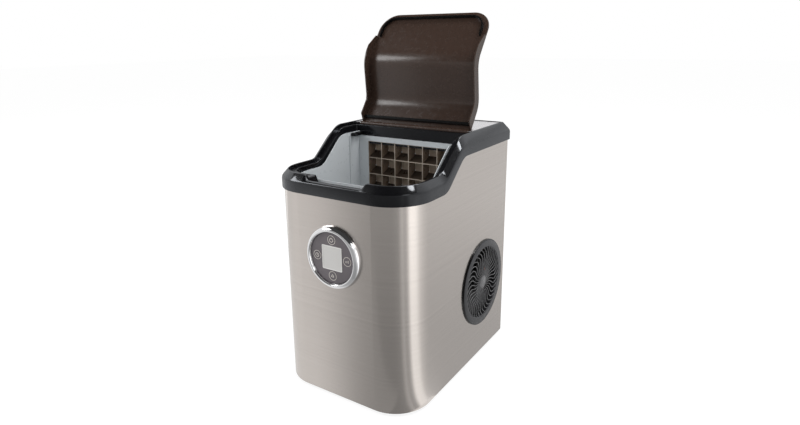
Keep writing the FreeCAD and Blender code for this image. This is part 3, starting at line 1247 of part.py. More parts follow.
def make_discharge_line():
    x = "(comp_x + comp_radius * 0.5)"
    y = "(comp_y - comp_radius * 0.5)"
    front = f"({fin_first} - 13)"
    side = f"({fin_mid} - fin_deep / 2 - 8.2)"
    route = [(x, y, f"{comp_top} - 6.6"), (x, y, cond_levels[0]), (x, front, cond_levels[0]),
             (side, front, cond_levels[0])]
    return stand(pipe("discharge", route, "line_radius", "9"), "discharge_line")


def make_suction_line():
    start = f"{foam_back} + 5.2"
    down = "(comp_y + 18)"
    low = f"{comp_base} + comp_height * 0.65"
    end = "comp_x - comp_radius + 2.3"
    route = [(coil_x, start, coil_low), (coil_x, down, coil_low), (coil_x, down, low), (end, down, low)]
    return stand(pipe("suction", route, "line_radius", "6"), "suction_line")


def make_filter_drier():
    shell = body("drier")
    r = "drier_radius"
    length = "(drier_length - 0.6)"
    profile = [("0", "0"), ("3.2", "0"), ("3.6", "6"), (r, "12"), (r, f"{length} - 12"),
               ("2.6", f"{length} - 5"),
               ("2.2", length), ("0", length)]
    revolve(shell, "XZ", [profile], "Z")
    locate(shell, drier_x, drier_y, f"{drier_low} + 0.3")
    return stand(shell, "filter_drier")


def make_capillary():
    """Fine tube from the drier to the mould's feed line."""
    level = "(slope_head - 11)"
    end = f"{coil_x} + gas_radius + 0.3"
    route = [(drier_x, drier_y, drier_high), (drier_x, drier_y, level), (end, drier_y, level)]
    return stand(pipe("fine_tube", route, "fine_radius", "9"), "capillary")


valve_x = "(comp_x - 25)"
valve_z = "(slope_foot + 2)"


def make_hot_gas_valve():
    """Solenoid valve that sends hot gas to the mould to let the ice go."""
    block_part = block("valve_block", (f"{valve_x} - 10", f"{valve_x} + 10"),
                       (f"{drier_y} - 10", f"{drier_y} + 10"),
                       (f"{valve_z} - 9", f"{valve_z} + 9"))
    coil = rod("valve_coil", "z", (valve_x, drier_y), "8.5", f"{valve_z} + 9", f"{valve_z} + 26")
    return stand(fuse("valve", block_part, coil), "hot_gas_valve")


def make_hot_gas_lines():
    """Compressor to valve, and valve to the mould's feed."""
    y = "(comp_y + comp_radius * 0.5)"
    front = f"{drier_y} - 10.2"
    rise = pipe("gas_feed", [(valve_x, y, f"{comp_top} - 6.6"), (valve_x, y, valve_z),
                             (valve_x, front, valve_z)],
                "gas_radius", "8")
    out = f"{foam_back} + 5.2"
    feed = pipe("gas_out", [(f"{valve_x} - 10.2", drier_y, valve_z), (coil_x, drier_y, valve_z),
                            (coil_x, drier_y, coil_top), (coil_x, out, coil_top)], "gas_radius", "9")
    return stand(group("gas_lines", rise, feed), "hot_gas_lines")


# ---- electrical parts ----

def make_control_box():
    outer = block("box_outer", ("box_left", "box_right"), ("box_front", f"{panel_front} - 0.2"),
                  ("box_low", "box_high"))
    inner = block("box_inner", ("box_left + box_wall", "box_right - box_wall"),
                  ("box_front + box_wall", "case_depth"), ("box_low + box_wall", "box_high - box_wall"))
    return stand(cut("box", outer, inner), "control_box")


board_y = "(box_front + box_wall + 6)"


def make_main_board():
    """Circuit board on four posts."""
    board = block("circuit", ("box_left + 8", "box_right - 8"), (board_y, f"{board_y} + board_sheet"),
                  ("box_low + 8", "box_high - 8"))
    posts = [rod("board_post", "y", (x, z), "3", "box_front + box_wall + 0.2", board_y)
             for x in ("box_left + 14", "box_right - 14") for z in ("box_low + 14", "box_high - 14")]
    return stand(fuse("circuit_set", board, *posts), "main_board")


def make_board_components():
    """Relays, capacitors, a heat sink and the transformer on the board."""
    face = f"({board_y} + board_sheet)"
    relays = [block("relay", (f"box_left + {16 + i * 24}", f"box_left + {34 + i * 24}"),
                    (face, f"{face} + 15"),
                    ("box_high - 34", "box_high - 20")) for i in range(3)]
    caps = [rod("capacitor", "y", (f"box_right - {24 + i * 20}", "box_low + 26"), "7.5", face, f"{face} + 24")
            for i in range(3)]
    sink = block("heat_sink", ("box_right - 50", "box_right - 22"), (face, f"{face} + 20"),
                 ("box_high - 40", "box_high - 34"))
    return stand(group("components", *relays, *caps, sink, transformer()), "board_components")


def transformer():
    face = f"({board_y} + board_sheet)"
    core = block("core", ("box_left + 16", "box_left + 56"), (face, f"{face} + 32"),
                 ("box_low + 14", "box_low + 46"))
    winding = rod("winding", "x", (f"{face} + 16", "box_low + 30"), "18.5", "box_left + 24", "box_left + 48")
    trimmed = common("winding_trim", winding,
                     block("winding_room", ("box_left", "box_right"), (f"{face} + 0.5", "case_depth"),
                           ("box_low", "box_high")))
    return fuse("transformer", core, trimmed)


def make_power_inlet():
    """Recessed three-pin socket on the back panel. The mains lead pulls out of it."""
    x0, x1 = "inlet_x - inlet_width / 2 + 0.2", "inlet_x + inlet_width / 2 - 0.2"
    z0, z1 = "inlet_z - inlet_height / 2 + 0.2", "inlet_z + inlet_height / 2 - 0.2"
    shell = block("inlet_shell", (x0, x1), ("case_depth - 24", "case_depth + 0.5"), (z0, z1))
    flange = block("inlet_flange", (f"{x0} - 7", f"{x1} + 7"), (panel_back, "case_depth + 0.5"),
                   (f"{z0} - 3", f"{z1} + 3"))
    hollow = block("inlet_hollow", (f"{x0} + 2", f"{x1} - 2"), ("case_depth - 18", "case_depth + 5"),
                   (f"{z0} + 2", f"{z1} - 2"))
    pins = [block("inlet_pin", (f"inlet_x + {dx} - 1", f"inlet_x + {dx} + 1"),
                  ("case_depth - 18.5", "case_depth - 3"),
                  (f"inlet_z + {dz} - 2", f"inlet_z + {dz} + 2")) for dx,
                  dz in ((-7, -1.5), (0, 1.5), (7, -1.5))]
    return stand(fuse("inlet", cut("inlet_body", fuse("inlet_solid", shell, flange), hollow), *pins),
                 "power_inlet")


makers = [
    make_wrap_shell, make_base_pan, make_rubber_feet, make_back_panel, make_back_panel_screws, make_top_rim,
    make_top_deck, make_lid, make_lid_hinge_pins, make_lid_bumpers, make_bin_liner, make_bin_insulation,
    make_rear_insulation, make_ice_basket, make_basket_rails, make_ice_slide, make_evaporator_frame,
    make_ice_grid,
    make_evaporator_plate, make_evaporator_coil, make_water_distributor, make_ice_sensor, make_level_probes,
    make_pump_housing, make_pump_impeller, make_pump_hose, make_drain_tube, make_drain_plug,
    make_control_bezel,
    make_control_housing, make_control_panel, make_display_window, make_display_screen, make_display_board,
    make_fan_grille, make_fan_frame, make_fan_motor, make_fan_rotor, make_fan_shroud, make_condenser_fins,
    make_condenser_tube, make_condenser_end_plates, make_compressor, make_compressor_plate,
    make_compressor_grommets,
    make_compressor_bolts, make_discharge_line, make_suction_line, make_filter_drier, make_capillary,
    make_hot_gas_valve, make_hot_gas_lines, make_control_box, make_main_board, make_board_components,
    make_power_inlet,
]
for make in makers:
    make()
for key in key_spots:
    make_key(key)
doc.recompute()

for obj in doc.Objects:
    if "Invalid" in obj.State or "Error" in obj.State:
        raise RuntimeError(f"{obj.Label} failed: {obj.State}")
for part in parts:
    if part.Shape.isNull() or not part.Shape.isValid() or not part.Shape.Solids:
        raise RuntimeError(f"{part.Label} has no valid solid")

os.makedirs("parts", exist_ok=True)
for part in parts:
    part.Shape.exportStep(os.path.join("parts", f"{part.Label}.step"))
    print(part.Label, len(part.Shape.Solids), round(part.Shape.Volume))
print(len(parts), "pieces")
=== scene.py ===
import json
import math
import bmesh
import bpy
from mathutils import Matrix, Vector


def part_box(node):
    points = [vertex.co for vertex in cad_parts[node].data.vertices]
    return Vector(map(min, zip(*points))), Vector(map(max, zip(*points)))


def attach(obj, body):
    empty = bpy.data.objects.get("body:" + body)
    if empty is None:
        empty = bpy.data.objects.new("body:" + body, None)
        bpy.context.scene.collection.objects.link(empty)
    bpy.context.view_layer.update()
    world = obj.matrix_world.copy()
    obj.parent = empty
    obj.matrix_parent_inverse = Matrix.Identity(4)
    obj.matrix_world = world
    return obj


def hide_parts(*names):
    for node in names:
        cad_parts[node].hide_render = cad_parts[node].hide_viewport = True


# Shapes are modelled in millimetres from the cabinet's front face and lower edge, then seated on the frame.

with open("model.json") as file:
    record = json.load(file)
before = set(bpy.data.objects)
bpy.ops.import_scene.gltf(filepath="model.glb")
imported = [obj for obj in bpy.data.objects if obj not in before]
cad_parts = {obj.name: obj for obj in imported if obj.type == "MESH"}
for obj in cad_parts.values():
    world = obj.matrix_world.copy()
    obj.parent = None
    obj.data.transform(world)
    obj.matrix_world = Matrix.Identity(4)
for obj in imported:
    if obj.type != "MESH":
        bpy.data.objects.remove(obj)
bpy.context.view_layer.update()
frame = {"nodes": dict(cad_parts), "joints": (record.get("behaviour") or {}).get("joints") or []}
scene = bpy.context.scene
seat = Vector((0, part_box("wrap_shell")[0].y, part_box("wrap_shell")[0].z))
print("frame loaded:", len(frame["nodes"]), "nodes")


def corners(node):
    low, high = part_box(node)
    return (low - seat) * 1000, (high - seat) * 1000


rimLow, rimHigh = corners("top_rim")
lidJoint = next(joint for joint in frame["joints"] if joint["name"] == "lid_hinge")
lidAxis = (Vector(lidJoint["pos_m"]) - seat) * 1000


# node and mesh helpers

def addNode(tree, kind, inputs=None, **settings):
    node = tree.nodes.new(kind)
    for name, value in settings.items():
        setattr(node, name, value)
    for name, value in (inputs or {}).items():
        if isinstance(value, bpy.types.NodeSocket):
            tree.links.new(value, node.inputs[name])
        else:
            node.inputs[name].default_value = value
    return node


def newMaterial(name):
    material = bpy.data.materials.new(name)
    material.use_nodes = True
    tree = material.node_tree
    tree.nodes.clear()
    shader = addNode(tree, "ShaderNodeBsdfPrincipled")
    output = addNode(tree, "ShaderNodeOutputMaterial")
    tree.links.new(shader.outputs["BSDF"], output.inputs["Surface"])
    return material, tree, shader


def stretched(tree, scale):
    place = addNode(tree, "ShaderNodeTexCoord")
    spaced = addNode(tree, "ShaderNodeMapping", {"Vector": place.outputs["Object"], "Scale": scale})
    return spaced.outputs["Vector"]


def noiseBetween(tree, vector, scale, low, high, detail=3.0):
    noise = addNode(tree, "ShaderNodeTexNoise", {"Vector": vector, "Scale": scale, "Detail": detail})
    widened = addNode(tree, "ShaderNodeMapRange", {"Value": noise.outputs["Fac"], "From Min": 0.3,
                                                  "From Max": 0.7, "To Min": low, "To Max": high})
    return widened.outputs["Result"]


def tint(tree, factor, dark, light):
    # the colour sockets of a Mix node share one name, so they are reached by number
    mix = addNode(tree, "ShaderNodeMix", data_type="RGBA")
    tree.links.new(factor, mix.inputs[0])
    mix.inputs[6].default_value = (*dark, 1)
    mix.inputs[7].default_value = (*light, 1)
    return mix.outputs[2]


def shade(colour, amount):
    return tuple(channel * amount for channel in colour)


def setShader(shader, **values):
    for name, value in values.items():
        shader.inputs[name.replace("_", " ")].default_value = value


def addBump(tree, shader, height, strength, distance):
    bump = addNode(tree, "ShaderNodeBump", {"Height": height, "Strength": strength, "Distance": distance})
    tree.links.new(bump.outputs["Normal"], shader.inputs["Normal"])


def mouldedFinish(name, colour, roughness=0.35, mottle=0.08, grain=900, depth=0.05, **values):
    material, tree, shader = newMaterial(name)
    even = stretched(tree, (1, 1, 1))
    cloud = noiseBetween(tree, even, 38, 0, 1)
    colours = tint(tree, cloud, shade(colour, 1 - mottle), shade(colour, 1 + mottle))
    tree.links.new(colours, shader.inputs["Base Color"])
    rub = noiseBetween(tree, even, 120, roughness * 0.8, roughness * 1.2)
    tree.links.new(rub, shader.inputs["Roughness"])
    pores = addNode(tree, "ShaderNodeTexNoise", {"Vector": even, "Scale": grain, "Detail": 2.0})
    addBump(tree, shader, pores.outputs["Fac"], depth, 0.0003)
    setShader(shader, **values)
    return material


def brushedFinish(name, colour, stretch, roughness=0.3, streak=0.07, depth=0.08, **values):
    material, tree, shader = newMaterial(name)
    lines = stretched(tree, stretch)
    fine = noiseBetween(tree, lines, 1.0, 0, 1, 4.0)
    broad = noiseBetween(tree, lines, 0.12, 0, 1, 2.0)
    both = addNode(tree, "ShaderNodeMath", operation="MULTIPLY_ADD")
    tree.links.new(fine, both.inputs[0])
    both.inputs[1].default_value = 0.6
    half = addNode(tree, "ShaderNodeMath", operation="MULTIPLY")
    tree.links.new(broad, half.inputs[0])
    half.inputs[1].default_value = 0.4
    tree.links.new(half.outputs[0], both.inputs[2])
    colours = tint(tree, both.outputs[0], shade(colour, 1 - streak), shade(colour, 1 + streak))
    tree.links.new(colours, shader.inputs["Base Color"])
    rub = noiseBetween(tree, lines, 0.7, roughness * 0.85, roughness * 1.15)
    tree.links.new(rub, shader.inputs["Roughness"])
    addBump(tree, shader, fine, depth, 0.0002)
    setShader(shader, Metallic=1.0, **values)
    return material


def metalFinish(name, colour, roughness, mottle=0.06, depth=0.03, **values):
    material, tree, shader = newMaterial(name)
    even = stretched(tree, (1, 1, 1))
    cloud = noiseBetween(tree, even, 60, 0, 1)
    colours = tint(tree, cloud, shade(colour, 1 - mottle), shade(colour, 1 + mottle))
    tree.links.new(colours, shader.inputs["Base Color"])
    rub = noiseBetween(tree, even, 150, roughness * 0.7, roughness * 1.3)
    tree.links.new(rub, shader.inputs["Roughness"])
    wear = addNode(tree, "ShaderNodeTexNoise", {"Vector": even, "Scale": 420.0, "Detail": 2.0})
    addBump(tree, shader, wear.outputs["Fac"], depth, 0.0002)
    setShader(shader, Metallic=1.0, **values)
    return material


def foamFinish(name, colour):
    material, tree, shader = newMaterial(name)
    even = stretched(tree, (1, 1, 1))
    cells = addNode(tree, "ShaderNodeTexVoronoi", {"Vector": even, "Scale": 520.0})
    shades = tint(tree, cells.outputs["Distance"], shade(colour, 1.0), shade(colour, 0.8))
    tree.links.new(shades, shader.inputs["Base Color"])
    addBump(tree, shader, cells.outputs["Distance"], 0.5, 0.0006)
    setShader(shader, Roughness=0.9)
    return material


def mouldFinish(name, inside, edge):
    # paler along the front edges of the dividers, and painted shade on the faces that look up, where the cell
    # floors lie in shadow
    material, tree, shader = newMaterial(name)
    even = stretched(tree, (1, 1, 1))
    split = addNode(tree, "ShaderNodeSeparateXYZ", {"Vector": even})
    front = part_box("ice_grid")[0].y
    near = addNode(tree, "ShaderNodeMapRange", {"Value": split.outputs["Y"], "From Min": front + 0.0008,
                                               "From Max": front + 0.0002, "To Min": 0.0, "To Max": 1.0})
    cloud = noiseBetween(tree, even, 60, 0, 1)
    base = tint(tree, cloud, shade(inside, 0.85), shade(inside, 1.15))
    mix = addNode(tree, "ShaderNodeMix", data_type="RGBA")
    surface = addNode(tree, "ShaderNodeNewGeometry")
    facing = addNode(tree, "ShaderNodeSeparateXYZ", {"Vector": surface.outputs["Normal"]})
    upFacingShade = addNode(tree, "ShaderNodeMapRange", {"Value": facing.outputs["Z"], "From Min": 0.4,
                                                  "From Max": 0.8})
    # painted shade: the up-facing cell floors mix to 0.22 of the inside colour
    low = addNode(tree, "ShaderNodeMix", data_type="RGBA")
    tree.links.new(upFacingShade.outputs["Result"], low.inputs[0])
    tree.links.new(base, low.inputs[6])
    low.inputs[7].default_value = (*shade(inside, 0.22), 1)
    tree.links.new(near.outputs["Result"], mix.inputs[0])
    tree.links.new(low.outputs[2], mix.inputs[6])
    mix.inputs[7].default_value = (*edge, 1)
    tree.links.new(mix.outputs[2], shader.inputs["Base Color"])
    tree.links.new(noiseBetween(tree, even, 140, 0.25, 0.4), shader.inputs["Roughness"])
    return material


def glossFinish(name, colour, facing, grazing, roughness=0.12, ripples=0.02):
    # a dark body under a gloss that grows from the facing share to the grazing share
    material, tree, shader = newMaterial(name)
    even = stretched(tree, (1, 1, 1))
    cloud = noiseBetween(tree, even, 30, 0, 1)
    colours = tint(tree, cloud, shade(colour, 0.85), shade(colour, 1.15))
    tree.links.new(colours, shader.inputs["Base Color"])
    setShader(shader, Roughness=0.4, Specular_IOR_Level=0.06)
    rub = noiseBetween(tree, even, 90, roughness * 0.8, roughness * 1.2)
    ripple = addNode(tree, "ShaderNodeTexNoise", {"Vector": even, "Scale": 55.0, "Detail": 1.0})
    bump = addNode(tree, "ShaderNodeBump", {"Height": ripple.outputs["Fac"], "Strength": ripples,
                                           "Distance": 0.001})
    gloss = addNode(tree, "ShaderNodeBsdfAnisotropic", {"Color": (0.92, 0.95, 1.0, 1), "Roughness": rub,
                                                       "Normal": bump.outputs["Normal"]})
    turn = addNode(tree, "ShaderNodeLayerWeight", {"Blend": 0.5})
    amount = addNode(tree, "ShaderNodeMapRange", {"Value": turn.outputs["Facing"], "From Min": 0.14,
                                                 "From Max": 0.72, "To Min": facing, "To Max": grazing})
    mix = addNode(tree, "ShaderNodeMixShader", {"Fac": amount.outputs["Result"]})
    tree.links.new(shader.outputs[0], mix.inputs[1])
    tree.links.new(gloss.outputs[0], mix.inputs[2])
    output = next(node for node in tree.nodes if node.type == "OUTPUT_MATERIAL")
    tree.links.new(mix.outputs[0], output.inputs["Surface"])
    return material


# one finish for each slot name of the frame, and then those that single pieces take instead
finishes = {
    "brushed_steel": brushedFinish("brushedSteel", (0.60, 0.555, 0.52), (3, 3, 1500), 0.22, streak=0.045,
                                   depth=0.05, Anisotropic=0.7, Anisotropic_Rotation=0.25),
    "rim_plastic": glossFinish("glossRim", (0.0035, 0.0035, 0.0045), 0.022, 0.13, 0.10),
    "lid_plastic": mouldedFinish("smokedLid", (0.044, 0.026, 0.019), 0.25, 0.015, depth=0.0,
                                 Specular_IOR_Level=0.42),
    "pin_steel": metalFinish("pinSteel", (0.62, 0.61, 0.60), 0.25),
    "black_rubber": mouldedFinish("blackRubber", (0.012, 0.012, 0.013), 0.7, depth=0.3),
    "tray_plastic": mouldedFinish("basePanPlastic", (0.02, 0.02, 0.021), 0.45),
    "liner_plastic": mouldedFinish("linerPlastic", (0.56, 0.59, 0.61), 0.32, 0.008, depth=0.02),
    "basket_plastic": mouldedFinish("basketPlastic", (0.55, 0.58, 0.60), 0.3),
    "foam": foamFinish("insulationFoam", (0.72, 0.66, 0.48)),
    "mould_plastic": mouldFinish("mouldPlastic", (0.20, 0.145, 0.105), (0.40, 0.34, 0.28)),
    "copper": metalFinish("copperTube", (0.72, 0.36, 0.22), 0.28),
    "aluminium_fins": brushedFinish("finAluminium", (0.70, 0.71, 0.72), (900, 40, 40), 0.35),
    "hose_rubber": mouldedFinish("siliconeHose", (0.62, 0.62, 0.60), 0.4),
    "pump_plastic": mouldedFinish("pumpPlastic", (0.05, 0.05, 0.055), 0.4),
    "chrome_plating": metalFinish("chromePlating", (0.86, 0.86, 0.87), 0.045, 0.02, 0.006),
    "panel_face": mouldedFinish("panelFace", (0.13, 0.115, 0.125), 0.22, depth=0.02),
    "display": mouldedFinish("displayFilm", (0.61, 0.60, 0.585), 0.35, 0.01, depth=0.01),
    "circuit_green": mouldedFinish("circuitBoard", (0.02, 0.12, 0.05), 0.35),
    "components": mouldedFinish("boardParts", (0.10, 0.10, 0.11), 0.4),
    "grille_plastic": mouldedFinish("grillePlastic", (0.15, 0.15, 0.155), 0.28, 0.02),
    "motor_steel": metalFinish("motorSteel", (0.45, 0.45, 0.46), 0.35),
    "compressor_paint": mouldedFinish("compressorPaint", (0.015, 0.015, 0.017), 0.3, depth=0.12),
    "back_panel_steel": brushedFinish("backPanelSteel", (0.50, 0.49, 0.48), (900, 3, 3), 0.42),
    "inlet_plastic": mouldedFinish("inletPlastic", (0.015, 0.015, 0.016), 0.35),
    "deck_steel": brushedFinish("deckSteel", (0.74, 0.73, 0.75), (3, 1500, 3), 0.28),
    # the evaporator plate behind the cells: a light brown, partly its own colour and partly painted light
    # raised against the shade inside the cells
    "mould_back": mouldedFinish("mouldBackPaintedLight", (0.50, 0.40, 0.31), 0.35, 0.02),
    "shadow_plastic": mouldedFinish("shadowPlastic", (0.004, 0.004, 0.0045), 0.5),
    "rib_black": glossFinish("ribBlack", (0.003, 0.003, 0.003), 0.01, 0.12),
    "grille_ring": mouldedFinish("grilleRing", (0.028, 0.028, 0.032), 0.32, 0.02),
    # painted highlight: the near white pins stand in for the glint dots in the cells, and the pale ridges for
    # a bright streak down each back wall
    "pin_bright": mouldedFinish("pinPaintedGlint", (0.85, 0.84, 0.82), 0.2, 0.02),
    "highlightRidge": mouldedFinish("mouldRidgeHighlight", (0.70, 0.60, 0.50), 0.3, 0.02),
    "orange": mouldedFinish("orangeLead", (0.62, 0.16, 0.03), 0.4, 0.02),
    "window_edge": mouldedFinish("windowEdge", (0.80, 0.79, 0.77), 0.2, 0.02),
    "legend": mouldedFinish("keyLegend", (0.66, 0.62, 0.57), 0.45, 0.03),
}
ownFinish = {"top_deck": "deck_steel", "evaporator_plate": "mould_back", "fan_frame": "shadow_plastic",
             "fan_rotor": "shadow_plastic", "ice_full_sensor": "rib_black"}
for name, cadNode in frame["nodes"].items():
    slotName = cadNode.data.materials[0].name.split(".")[0]
    cadNode.data.materials[0] = finishes[ownFinish.get(name, slotName)]
print("finishes made:", len(finishes))


def publish(bm, name, body, slotName, replaced=(), finish=None, sharp=35, rounding=0, turn=None):
    # makes a piece of a finished bmesh; past the angle sharp an edge stays hard, and turn places the mesh
    bmesh.ops.remove_doubles(bm, verts=bm.verts, dist=0.001)
    bmesh.ops.recalc_face_normals(bm, faces=bm.faces)
    if turn:
        bmesh.ops.transform(bm, matrix=turn, verts=bm.verts)
    bmesh.ops.transform(bm, matrix=Matrix.Translation(seat) @ Matrix.Scale(0.001, 4), verts=bm.verts)
    mesh = bpy.data.meshes.new(name)
    bm.to_mesh(mesh)
    bm.free()
    for face in mesh.polygons:
        face.use_smooth = True
    mesh.set_sharp_from_angle(angle=math.radians(sharp))
    piece = bpy.data.objects.new(name, mesh)
    scene.collection.objects.link(piece)
    if rounding:
        bevel = piece.modifiers.new("softEdges", "BEVEL")
        bevel.width = rounding * 0.001
        bevel.segments = 3
        bevel.limit_method = "ANGLE"
        bevel.harden_normals = True
    mesh.materials.append(finishes[finish or slotName])
    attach(piece, body)
    if replaced:
        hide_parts(*replaced)


def onlyVerts(geometry):
    return [part for part in geometry if isinstance(part, bmesh.types.BMVert)]


def ringLoop(bm, half, front, rear, z, corner, tail=2.0, steps=12):
    # a closed loop round the cabinet: wide bends at the front, tight ones at the back
    before = set(bm.edges)
    turns = (((tail - half, rear - tail), tail, (0, 1)), ((corner - half, front + corner), corner, (-1, 0)),
             ((half - corner, front + corner), corner, (0, -1)), ((half - tail, rear - tail), tail, (1, 0)))
    tip = first = None
    for (x, y), radius, (towardX, towardY) in turns:
        spot = bm.verts.new((x + radius * towardX, y + radius * towardY, z))
        if tip:
            bm.edges.new((tip, spot))
        first = first or spot
        spun = bmesh.ops.spin(bm, geom=[spot], cent=(x, y, z), axis=(0, 0, 1), angle=math.pi / 2, steps=steps)
        tip = onlyVerts(spun["geom_last"])[0]
    bm.edges.new((tip, first))
    return [edge for edge in bm.edges if edge not in before]


def roundEdges(bm, edges, width, segments=3):
    bmesh.ops.bevel(bm, geom=edges, offset=width, offset_type="OFFSET", segments=segments, profile=0.5,
                    affect="EDGES", material=-1, clamp_overlap=True)


def withFaces(bm, verts):
    # the vertices with the edges and faces that start at them, for an operator that wants all three
    parts = set(verts)
    return verts + [e for e in bm.edges if e.verts[0] in parts] + [f for f in bm.faces if f.verts[0] in parts]


def cutAcross(bm, axis, places):
    # adds a line of vertices round the mesh at each place along an axis
    for place in places:
        spot = Vector((0, 0, 0))
        spot[axis] = place
        normal = Vector((0, 0, 0))
        normal[axis] = 1
        everything = bm.verts[:] + bm.edges[:] + bm.faces[:]
        bmesh.ops.bisect_plane(bm, geom=everything, plane_co=spot, plane_no=normal, dist=1e-4)


def addBlock(bm, low, high):
    low, high = Vector(low), Vector(high)
    size = Matrix.Diagonal((*(high - low), 1))
    return bmesh.ops.create_cube(bm, size=1, matrix=Matrix.Translation((low + high) / 2) @ size)["verts"]


def spread(low, high, count):
    return [low + (high - low) * i / (count - 1) for i in range(count)]


def stepHeight(y, low, high, foot, head, radius):
    # two levels joined by a straight ramp with a tangent round at its foot and at its head
    slope = math.atan2(high - low, head - foot)
    reach = radius * math.tan(slope / 2)
    if y <= foot - reach:
        return low
    if y >= head + reach:
        return high
    if y < foot + reach * math.cos(slope):
        return low + radius - math.sqrt(radius ** 2 - (y - foot + reach) ** 2)
    if y > head - reach * math.cos(slope):
        return high - radius + math.sqrt(radius ** 2 - (head + reach - y) ** 2)
    return low + (y - foot) * math.tan(slope)


# top rim

rim = {
    "half": rimHigh.x, "front": rimLow.y, "rear": rimHigh.y, "corner": 61, "knee": 30,
    # heights of three lines along the rim: low level, high level, foot and head of the ramp between them
    "foot": (312, 356, 103.5, 155.2), "crease": (328, 372, 99.2, 150.9), "crest": (338.5, 386, 100.2, 159.5),
    "bandHeight": 16, "crestHeight": 26.5, "bevelRun": 9.5, "ledgeDrop": 5, "wall": 2.5, "webDrop": 14,
    "footInset": 3.3, "crestWide": (3, 4, 1.1), "ledgeCorner": 42,
    "throatHalf": 106.3, "throatFront": 28.5, "throatRear": 203, "throatCorner": 30, "throatDeep": 36,
    "channelRear": 222.5, "channelHalf": 105.7, "channelDeep": 6, "slotHalf": 99.7,
    "notchHalf": 46, "notchSlope": 9, "notchFloor": 330.5, "notchLip": 6, "notchDip": 8.5,
    "notchBehind": 8, "notchAbove": 0.6, "hair": 0.05,
    "kneeCuts": (80, 179, 34), "notchCuts": 7, "roundings": {1: 0.5, 2: 2.6, 3: 3.2, 4: 1.2, 6: 0.8},
}


def crestAt(y):
    return stepHeight(y, *rim["crest"], rim["knee"])


def liftRim(co, innerHalf, innerFront, innerRear):
    # the rim is first built level, then each vertex is lifted onto the lines of the real one
    crest = crestAt(co.y)
    if abs(co.x) < innerHalf and innerFront < co.y < innerRear:
        return crest + co.z - rim["crestHeight"]
    crease = stepHeight(co.y, *rim["crease"], rim["knee"])
    foot = stepHeight(co.y, *rim["foot"], rim["knee"])
    band = rim["bandHeight"]
    if co.z > band:
        return crease + (crest - crease) * (co.z - band) / (rim["crestHeight"] - band)
    return foot + (crease - foot) * co.z / band


def sinkFaces(bm, level, low, high, drop):
    # the level faces of one height whose centres lie between two corners go down by the drop
    picked = [face for face in bm.faces if abs(face.calc_center_median().z - level) < 0.01
              and abs(face.normal.z) > 0.99 and low[0] < abs(face.calc_center_median().x) < high[0]
              and low[1] < face.calc_center_median().y < high[1]]
    moved = bmesh.ops.extrude_face_region(bm, geom=picked)["geom"]
    bmesh.ops.translate(bm, verts=onlyVerts(moved), vec=(0, 0, -drop))


def notchRim(vert, level):
    # the finger notch in the front: level across the middle, with an S-shaped rise at each end
    across = (abs(vert.co.x) - rim["notchHalf"]) / rim["notchSlope"]
    behind = rim["throatFront"] + rim["notchBehind"]
    if across >= 1 or vert.co.y >= behind or level <= rim["bandHeight"] + rim["notchAbove"]:
        return
    share = max(across, 0)
    inward = min(max((vert.co.y - rim["notchLip"]) / (rim["throatFront"] - rim["notchLip"]), 0), 1)
    floor = rim["notchFloor"] - rim["notchDip"] * inward
    fall = rim["crest"][0] - floor
    vert.co.z = min(vert.co.z, floor + fall * share * share * (3 - 2 * share))


def makeRim():
    bm = bmesh.new()
    half, front, rear, corner = rim["half"], rim["front"], rim["rear"], rim["corner"]
    top, inner, run = rim["crestHeight"], rim["footInset"], rim["bevelRun"]
    ledge = top - rim["ledgeDrop"]
    low = top - rim["throatDeep"]
    web = top - rim["webDrop"]
    wall = rim["wall"]
    throat = (rim["throatHalf"], rim["throatFront"], rim["throatRear"])
    outside = (throat[0] + wall, throat[1] - wall, throat[2] + wall)
    sideWide, frontWide, rearWide = rim["crestWide"]
    crestIn = (half - run - sideWide, front + run + frontWide, rear - run - rearWide)
    sections = [
        (half - inner, front + inner, rear - inner, 0, corner - inner),
        (half, front, rear, 0, corner),
        (half, front, rear, rim["bandHeight"], corner),
        (half - run, front + run, rear - run, top, corner - run),
        (*crestIn, top, rim["ledgeCorner"]), (*crestIn, ledge, rim["ledgeCorner"]),
        (*throat, ledge, rim["throatCorner"]), (*throat, low, rim["throatCorner"]),
        (*outside, low, rim["throatCorner"] + wall), (*outside, web, rim["throatCorner"] + wall),
        (half - inner, front + inner, rear - inner, web, corner - inner),
    ]
    loops = [ringLoop(bm, *section) for section in sections]
    for index, (one, two) in enumerate(zip(loops, loops[1:] + loops[:1])):
        if index in (3, 5, 7, 9):  # level faces between an outer and an inner outline
            bmesh.ops.triangle_fill(bm, edges=one + two, use_beauty=True)
        else:
            bmesh.ops.bridge_loops(bm, edges=one + two)
    for index, width in rim["roundings"].items():
        roundEdges(bm, loops[index], width, 5 if width > 2 else 3)
    sill = throat[2] + wall
    cutAcross(bm, 1, (sill, rim["channelRear"]))
    cutAcross(bm, 0, (-rim["channelHalf"], -rim["slotHalf"], rim["slotHalf"], rim["channelHalf"]))
    bmesh.ops.recalc_face_normals(bm, faces=bm.faces)
    sinkFaces(bm, ledge, (-1, sill), (rim["channelHalf"], rim["channelRear"]), rim["channelDeep"])
    cutAcross(bm, 1, spread(*rim["kneeCuts"]))
    notch, slope = rim["notchHalf"], rim["notchSlope"]
    shares = spread(0, 1, rim["notchCuts"])
    cutAcross(bm, 0, [side * (notch + slope * share) for side in (-1, 1) for share in shares])
    hair = rim["hair"]
    inside = (crestIn[0] + hair, crestIn[1] - hair, crestIn[2] + hair)
    flat = {vert: vert.co.z for vert in bm.verts}
    for vert, level in flat.items():
        vert.co.z = liftRim(vert.co, *inside)
        notchRim(vert, level)
    publish(bm, "rimShell", "cabinet", "rim_plastic", ("top_rim",), sharp=50)


makeRim()
print("rim made")


# lid

